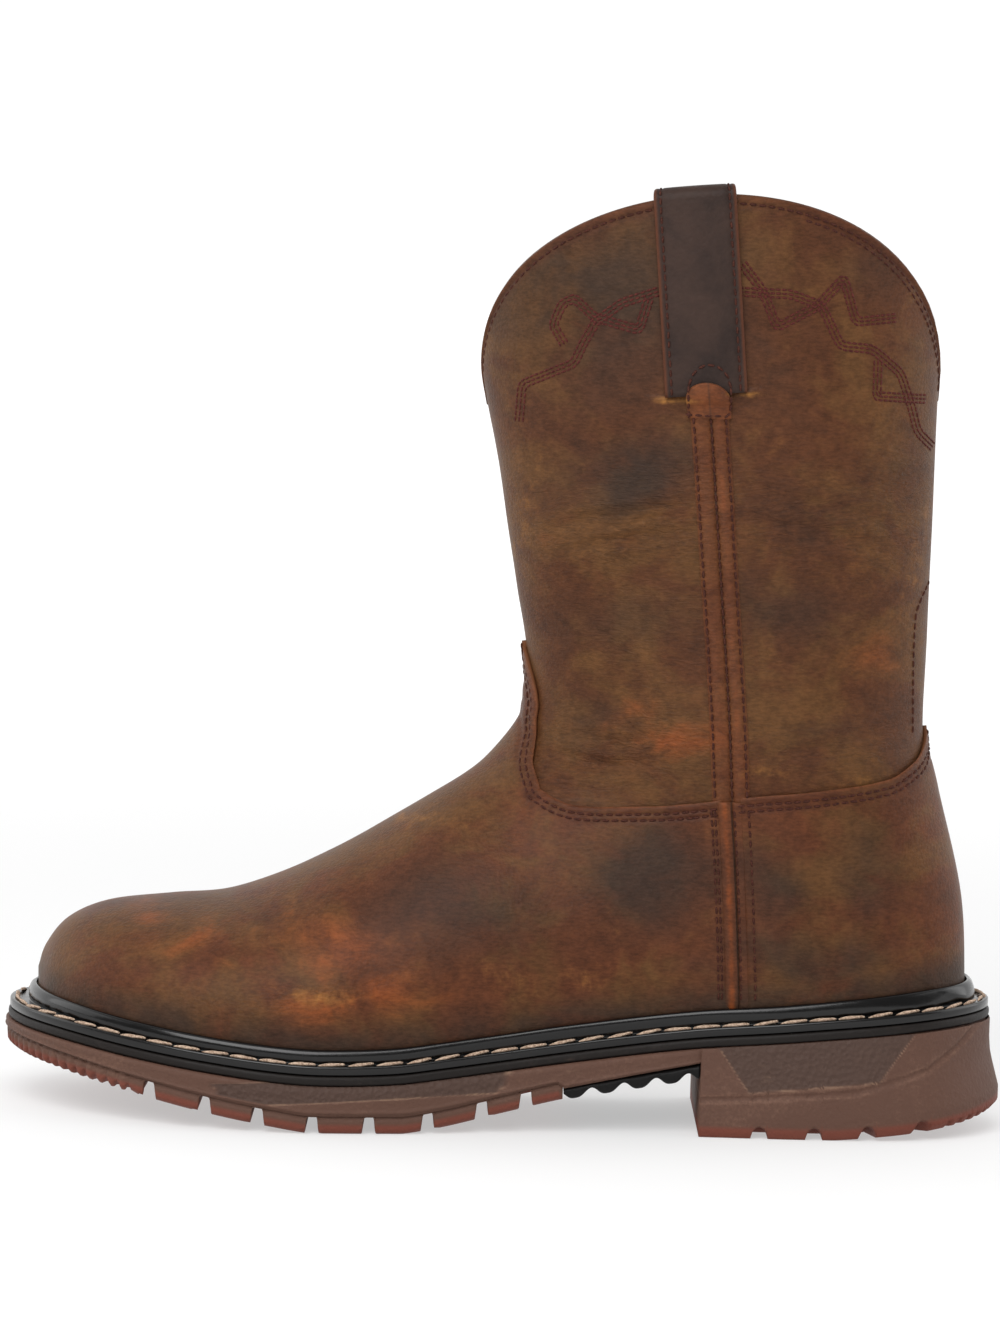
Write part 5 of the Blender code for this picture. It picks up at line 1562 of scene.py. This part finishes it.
def stitchTree(name):
    tree = bpy.data.node_groups.new(name, "GeometryNodeTree")
    tree.interface.new_socket("Geometry", in_out="INPUT", socket_type="NodeSocketGeometry")
    for label in ("Pitch", "Long", "Wide", "High", "Slant"):
        tree.interface.new_socket(label, in_out="INPUT", socket_type="NodeSocketFloat")
    tree.interface.new_socket("Stitch", in_out="INPUT", socket_type="NodeSocketObject")
    tree.interface.new_socket("Material", in_out="INPUT", socket_type="NodeSocketMaterial")
    tree.interface.new_socket("Geometry", in_out="OUTPUT", socket_type="NodeSocketGeometry")
    entry = tree.nodes.new("NodeGroupInput")
    given = {socket.name: Wire(tree, socket) for socket in entry.outputs if socket.name}
    w = Wire(tree)
    path = w.node("GeometryNodeMeshToCurve", Mesh=given["Geometry"])
    path = w.node("GeometryNodeResampleCurve", {"mode": "LENGTH"}, Curve=path, Length=given["Pitch"])
    out = w.node("GeometryNodeInputNamedAttribute", {"data_type": "FLOAT_VECTOR"}, Name="outward")
    turned = w.node("FunctionNodeAxesToRotation", {"primary_axis": "X", "secondary_axis": "Z"},
                    Primary_Axis=w.node("GeometryNodeInputTangent"), Secondary_Axis=out)
    sway = w.node("FunctionNodeRandomValue", {"data_type": "FLOAT_VECTOR"}, i0=(-0.03, -0.06, -0.1),
                  i1=(0.03, 0.06, 0.1), Seed=7)
    slant = w.node("ShaderNodeCombineXYZ", Z=given["Slant"])
    for more in (sway, slant):
        turned = w.node("FunctionNodeRotateRotation", {"rotation_space": "LOCAL"}, Rotation=turned,
                        Rotate_By=more)
    size = w.node("ShaderNodeCombineXYZ", X=given["Long"], Y=given["Wide"], Z=given["High"])
    shape = w.node("GeometryNodeObjectInfo", out=4, Object=given["Stitch"])
    laid = w.node("GeometryNodeInstanceOnPoints", Points=path, Instance=shape, Rotation=turned, Scale=size)
    laid = w.node("GeometryNodeRealizeInstances", Geometry=laid)
    laid = w.node("GeometryNodeSetMaterial", Geometry=laid, Material=given["Material"])
    tree.links.new(laid.socket, tree.nodes.new("NodeGroupOutput").inputs[0])
    return tree


def strand(name, rings, sides, plies, twist):
    # one stitch of unit size along X, thicker in the middle, with its plies twisted round it
    points, faces = [(-0.5, 0.0, -0.2)], []
    for k in range(1, rings):
        x = -math.cos(math.pi * k / rings) / 2
        full = math.sin(math.pi * k / rings) ** 0.6
        for j in range(sides):
            a = 2 * math.pi * j / sides
            r = 0.5 * full * (1 + (0.16 if plies else 0.0) * math.cos(plies * a + twist * x))
            points.append((x, r * math.cos(a), r * math.sin(a) - 0.2 * (2 * x) ** 2))
    points.append((0.5, 0.0, -0.2))
    for j in range(sides):
        n = (j + 1) % sides
        faces.append((0, 1 + n, 1 + j))
        for k in range(rings - 2):
            a, b = 1 + k * sides, 1 + (k + 1) * sides
            faces.append((a + j, a + n, b + n, b + j))
        faces.append((1 + (rings - 2) * sides + j, 1 + (rings - 2) * sides + n, len(points) - 1))
    mesh = bpy.data.meshes.new(name)
    mesh.from_pydata(points, [], faces)
    return addObject(name, mesh)


def rowsMesh(name, rows):
    # rows of (points, outward) as loose paths
    points, edges, outs = [], [], []
    for places, out in rows:
        base = len(points)
        points += list((places + seat) * mm)
        outs += list(out)
        edges += [(base + i, base + i + 1) for i in range(len(places) - 1)]
    mesh = bpy.data.meshes.new(name)
    mesh.from_pydata(points, edges, [])
    outward = mesh.attributes.new("outward", "FLOAT_VECTOR", "POINT")
    outward.data.foreach_set("vector", np.array(outs, np.float32).ravel())
    return mesh


def sew(name, rows, size, tree, shape, material):
    made = bpy.data.objects.new(name, rowsMesh(name, rows))
    bpy.context.scene.collection.objects.link(made)
    laid = made.modifiers.new("stitches", "NODES")
    laid.node_group = tree
    wanted = {"Pitch": size["pitch"] * mm, "Long": size["long"] * mm, "Wide": size["wide"] * mm,
              "High": size["high"] * mm, "Slant": size["slant"], "Stitch": shape, "Material": material}
    for item in tree.interface.items_tree:
        if item.in_out == "INPUT" and item.name in wanted:
            laid[item.identifier] = wanted[item.name]
    settle(made)
    made.data.polygons.foreach_set("use_smooth", np.ones(len(made.data.polygons), bool))
    return made


def drawn(points, count):
    # even points along a line through x, z corners, its corners eased
    points = np.array(points, float)
    run = np.concatenate(((0.0,), np.cumsum(np.linalg.norm(np.diff(points, axis=0), axis=1))))
    at = np.linspace(0.0, run[-1], count)
    line = np.column_stack([np.interp(at, run, points[:, k]) for k in (0, 1)])
    for _ in range(6):
        line[1:-1] = (line[:-2] + 2 * line[1:-1] + line[2:]) / 4
    return line


def beside(line, off):
    # a line in the side view moved sideways
    tangent = np.gradient(line, axis=0)
    tangent /= np.linalg.norm(tangent, axis=1, keepdims=True)
    return line + np.stack((-tangent[:, 1], tangent[:, 0]), 1) * off


def onLeather(line, side, lift):
    s, t = find(line[:, 0], line[:, 1])
    fold = foldDepth(line[:, 0], line[:, 1], np.full(len(line), float(side)))
    return lifted(s, t, side, lift + fold), facing(s, t, side)


def besideEdge(edge, off, side, lift):
    # a row that follows a panel's edge at a distance
    p, n = skin(edge[:, 0], edge[:, 1], side), facing(edge[:, 0], edge[:, 1], side)
    tangent = np.gradient(p, axis=0)
    tangent /= np.linalg.norm(tangent, axis=1, keepdims=True)
    moved = p + np.cross(tangent, n) * off * -side
    return onLeather(moved[:, (0, 2)], side, lift)


stitchShape = strand("stitch", 6, 6, 0, 0.0)
ropeShape = strand("rope stitch", 12, 10, 2, 9.0)
rowTree = stitchTree("stitch row")
# Sewn lines: beside the side seam as offsets from it, the rest as x, z in the side view
sewnLines = {
    "strip": ((-4.9, 1.0), (0.35, 0.55), (4.9, 1.0)),                    # offset, lift
    "low": ((-5.1, 1.8), (-6.2, 1.8), (0.8, 1.65), (5.2, 1.8)),
    "stripEnds": (222.6, 107.6), "lowEnds": (101.5, 45.0),               # heights
    "tab": ((51.4, 224.4), (51.1, 229.0), (51.0, 233.4), (52.2, 237.0), (54.4, 239.2), (57.0, 239.9),
            (59.8, 239.3), (62.2, 237.2), (63.5, 234.0), (63.8, 229.0), (64.0, 224.4), (57.6, 224.2),
            (51.4, 224.4)),
    "strapFrom": 233.6,                 # above it the tab's row lies on the strap
    "backStay": ((129.4, 173.0), (126.9, 168.6), (125.0, 163.8), (124.8, 150.0), (125.5, 127.5)),
    "collar": 2.8, "collarBack": 4.5,
    "ornament": (
        ((65.9, 262.2), (81.2, 262.0), (90.9, 258.7), (97.3, 246.6), (107.5, 245.9), (116.8, 238.7),
         (120.5, 229.2), (123.3, 220.5), (128.6, 216.0)),
        ((66.5, 270.1), (72.6, 262.7), (77.3, 251.8), (89.7, 258.6), (97.5, 267.4), (101.8, 254.1),
         (113.8, 255.6)),
        ((109.3, 241.7), (109.4, 231.5), (125.0, 230.8)),
        ((40.0, 261.3), (29.8, 257.7), (22.6, 252.2), (15.1, 258.7), (11.5, 256.7), (9.0, 250.2),
         (12.2, 245.1)),
        ((37.7, 258.5), (35.2, 249.6), (22.6, 252.8), (18.6, 245.4), (15.8, 238.8), (0.1, 231.6),
         (-0.5, 220.7)),
    ),
    "ornamentRows": (-1.2, 0.0, 1.2),
}


def tabLift(line):
    # on the tab's rim, and above it on the strap
    z = line[:, 1]
    onTab = seamCut["gap"] + 1.5 + step(*seamCut["climb"], z) * seamCut["strapLift"]
    return np.where(z > sewnLines["strapFrom"], strapCut["out"] + strapCut["thick"] + 0.4, onTab)


edgeRows, ornamentRows = [], []
for side in bothSides:
    for off in panelCut["rows"]:
        edgeRows.append(besideEdge(vampEdge, -off, side, panelTop - 0.1))
        edgeRows.append(besideEdge(counterEdge, off, side, panelTop - 0.1))
    z = np.linspace(*sewnLines["stripEnds"], 90)
    for d, lift in sewnLines["strip"]:
        edgeRows.append(onLeather(np.column_stack((seamX(z) + d, z)), side, seamCut["gap"] + lift))
    z = np.linspace(*sewnLines["lowEnds"], 50)
    for d, lift in sewnLines["low"]:
        edgeRows.append(onLeather(np.column_stack((seamX(z) + d, z)), side, lift))
    tab = drawn(sewnLines["tab"], 90)
    edgeRows.append(onLeather(tab, side, tabLift(tab)))
    edgeRows.append(onLeather(drawn(sewnLines["backStay"], 40), side, 0.1))
    across = np.linspace(0.03, 0.985, 240)
    collarLine = np.stack((collarEnd(across), across), 1)
    edgeRows.append(besideEdge(collarLine, sewnLines["collar"], side, -0.05))
    edgeRows.append(besideEdge(collarLine[150:], sewnLines["collarBack"], side, 0.05))
    for line in sewnLines["ornament"]:
        for off in sewnLines["ornamentRows"]:
            ornamentRows.append(onLeather(beside(drawn(line, 120), off), side, 0.05))
strapRows = []
for side in bothSides:
    lift, z, lookLift, lookZ = strapPath(side)
    for d in (strapCut["stitchIn"] - strapCut["half"], strapCut["half"] - strapCut["stitchIn"]):
        depth = strapCut["thick"] / 2 - 0.05
        row = strapAt(side, np.full(len(z), d), lift + lookLift * depth, z + lookZ * depth)
        s, t = find(strapMiddle(z) + strapCut["shift"][side] + d, z + strapCut["tilt"] * d)
        look = facing(s, t, side) * lookLift[:, None] + np.array((0.0, 0.0, 1.0)) * lookZ[:, None]
        strapRows.append((row[1:-1], look[1:-1]))
edgeStitches = sew("edge_stitches", edgeRows + strapRows, threadCut["edge"], rowTree, stitchShape, darkThread)
ornamentStitches = sew("ornament_stitches", ornamentRows, threadCut["ornament"], rowTree, stitchShape,
                       ornamentThread)
stitchIn = weltCut["stitchAt"] + 0.3 * (reachAt(stations) - 7.4)
weltRow = levelLoop(reachAt(stations) - stitchIn, lambda x: ledge(x) + weltCut["stitchUp"])
weltAbove = levelLoop(reachAt(stations) - stitchIn + 0.6, lambda x: ledge(x) + weltCut["stitchUp"] + 0.8)
weltRow, weltLook = (np.concatenate((v, v[:1])) for v in (weltRow, weltAbove - weltRow))
weltStitches = sew("welt_stitches", [(weltRow, weltLook)], threadCut["welt"], rowTree, ropeShape, tanThread)
for shape in (stitchShape, ropeShape):
    bpy.data.objects.remove(shape)
wear(edgeStitches, "thread")
wear(ornamentStitches, "thread")
wear(weltStitches, "welt_thread")
print("stitches ready")

# Camera, at the photograph's angle
shot = {"distance": 1600.0, "down": 4.5, "roll": 1.8, "aimX": -4.0, "aimZ": 141.0, "lens": 137.1}
down, roll = math.radians(shot["down"]), math.radians(shot["roll"])
camera = bpy.data.objects.new("camera", bpy.data.cameras.new("camera"))
bpy.context.scene.collection.objects.link(camera)
bpy.context.scene.camera = camera
camera.data.lens = shot["lens"]
camera.data.sensor_width = 36.0
right = Vector((1, 0, 0))
up = Vector((0, math.sin(down), math.cos(down)))
back = Vector((0, -math.cos(down), math.sin(down)))
rolledRight = right * math.cos(roll) + up * math.sin(roll)
rolledUp = up * math.cos(roll) - right * math.sin(roll)
axes = Matrix((rolledRight, rolledUp, back)).transposed()
aim = Vector((shot["aimX"], seat[1], shot["aimZ"]))
camera.matrix_world = Matrix.Translation((aim + back * shot["distance"]) * mm) @ axes.to_4x4()

# Studio: a pale floor, a white backdrop that dims towards the front, and large lamps
studio = {
    "backdrop": (1.02, 1.02, 1.02), "front": (0.25, 0.25, 0.25), "floor": (0.45, 0.45, 0.45),
    "glowNear": (0.46, 0.46, 0.46), "glowFar": (0.88, 0.88, 0.88), "floorRadius": 30,
    "lampAim": (0.0, 0.0, 0.13),
    "lamps": (
        {"name": "overhead", "at": (-0.3, -1.25, 1.2), "size": 1.3, "watts": 27.0},
        {"name": "left", "at": (-1.5, 0.1, 0.8), "size": 1.4, "watts": 8.0},
        {"name": "right", "at": (1.5, 0.2, 0.7), "size": 1.4, "watts": 8.5},
    ),
}
bpy.context.scene.view_settings.view_transform = "Standard"
world = bpy.data.worlds.new("studio")
bpy.context.scene.world = world
world.use_nodes = True
sky = Wire(world.node_tree)
depthward = sky.node("ShaderNodeSeparateXYZ", out=1, Vector=sky.node("ShaderNodeTexCoord"))
tone = depthward.ramp(-0.3, 0.5).mix(studio["front"], studio["backdrop"])
world.node_tree.links.new(tone.socket, world.node_tree.nodes["Background"].inputs["Color"])
floorMesh = bpy.data.meshes.new("floor")
around = np.linspace(0.0, 2 * math.pi, 65)[:-1]
wide = studio["floorRadius"]
floorMesh.from_pydata([(wide * math.cos(a), wide * math.sin(a), 0.0) for a in around], [], [list(range(64))])
floor = addObject("floor", floorMesh)


def floorGlow(p):
    away = p.node("ShaderNodeVectorMath", {"operation": "LENGTH"}, out=1, Vector=p)
    return {"Emission_Color": away.ramp(0.3, 2.2).mix(studio["glowNear"], studio["glowFar"])}


floorMesh.materials.append(finish("pale floor", floorGlow, Base_Color=(*studio["floor"], 1.0), Roughness=0.9,
                                  Specular_IOR_Level=0.1, Emission_Strength=1.0))
for lamp in studio["lamps"]:
    light = bpy.data.lights.new(lamp["name"], "AREA")
    light.size = lamp["size"]
    light.energy = lamp["watts"]
    held = bpy.data.objects.new(lamp["name"], light)
    held.location = lamp["at"]
    towards = Vector(studio["lampAim"]) - Vector(lamp["at"])
    held.rotation_euler = towards.to_track_quat("-Z", "Y").to_euler()
    bpy.context.scene.collection.objects.link(held)
print("studio ready")
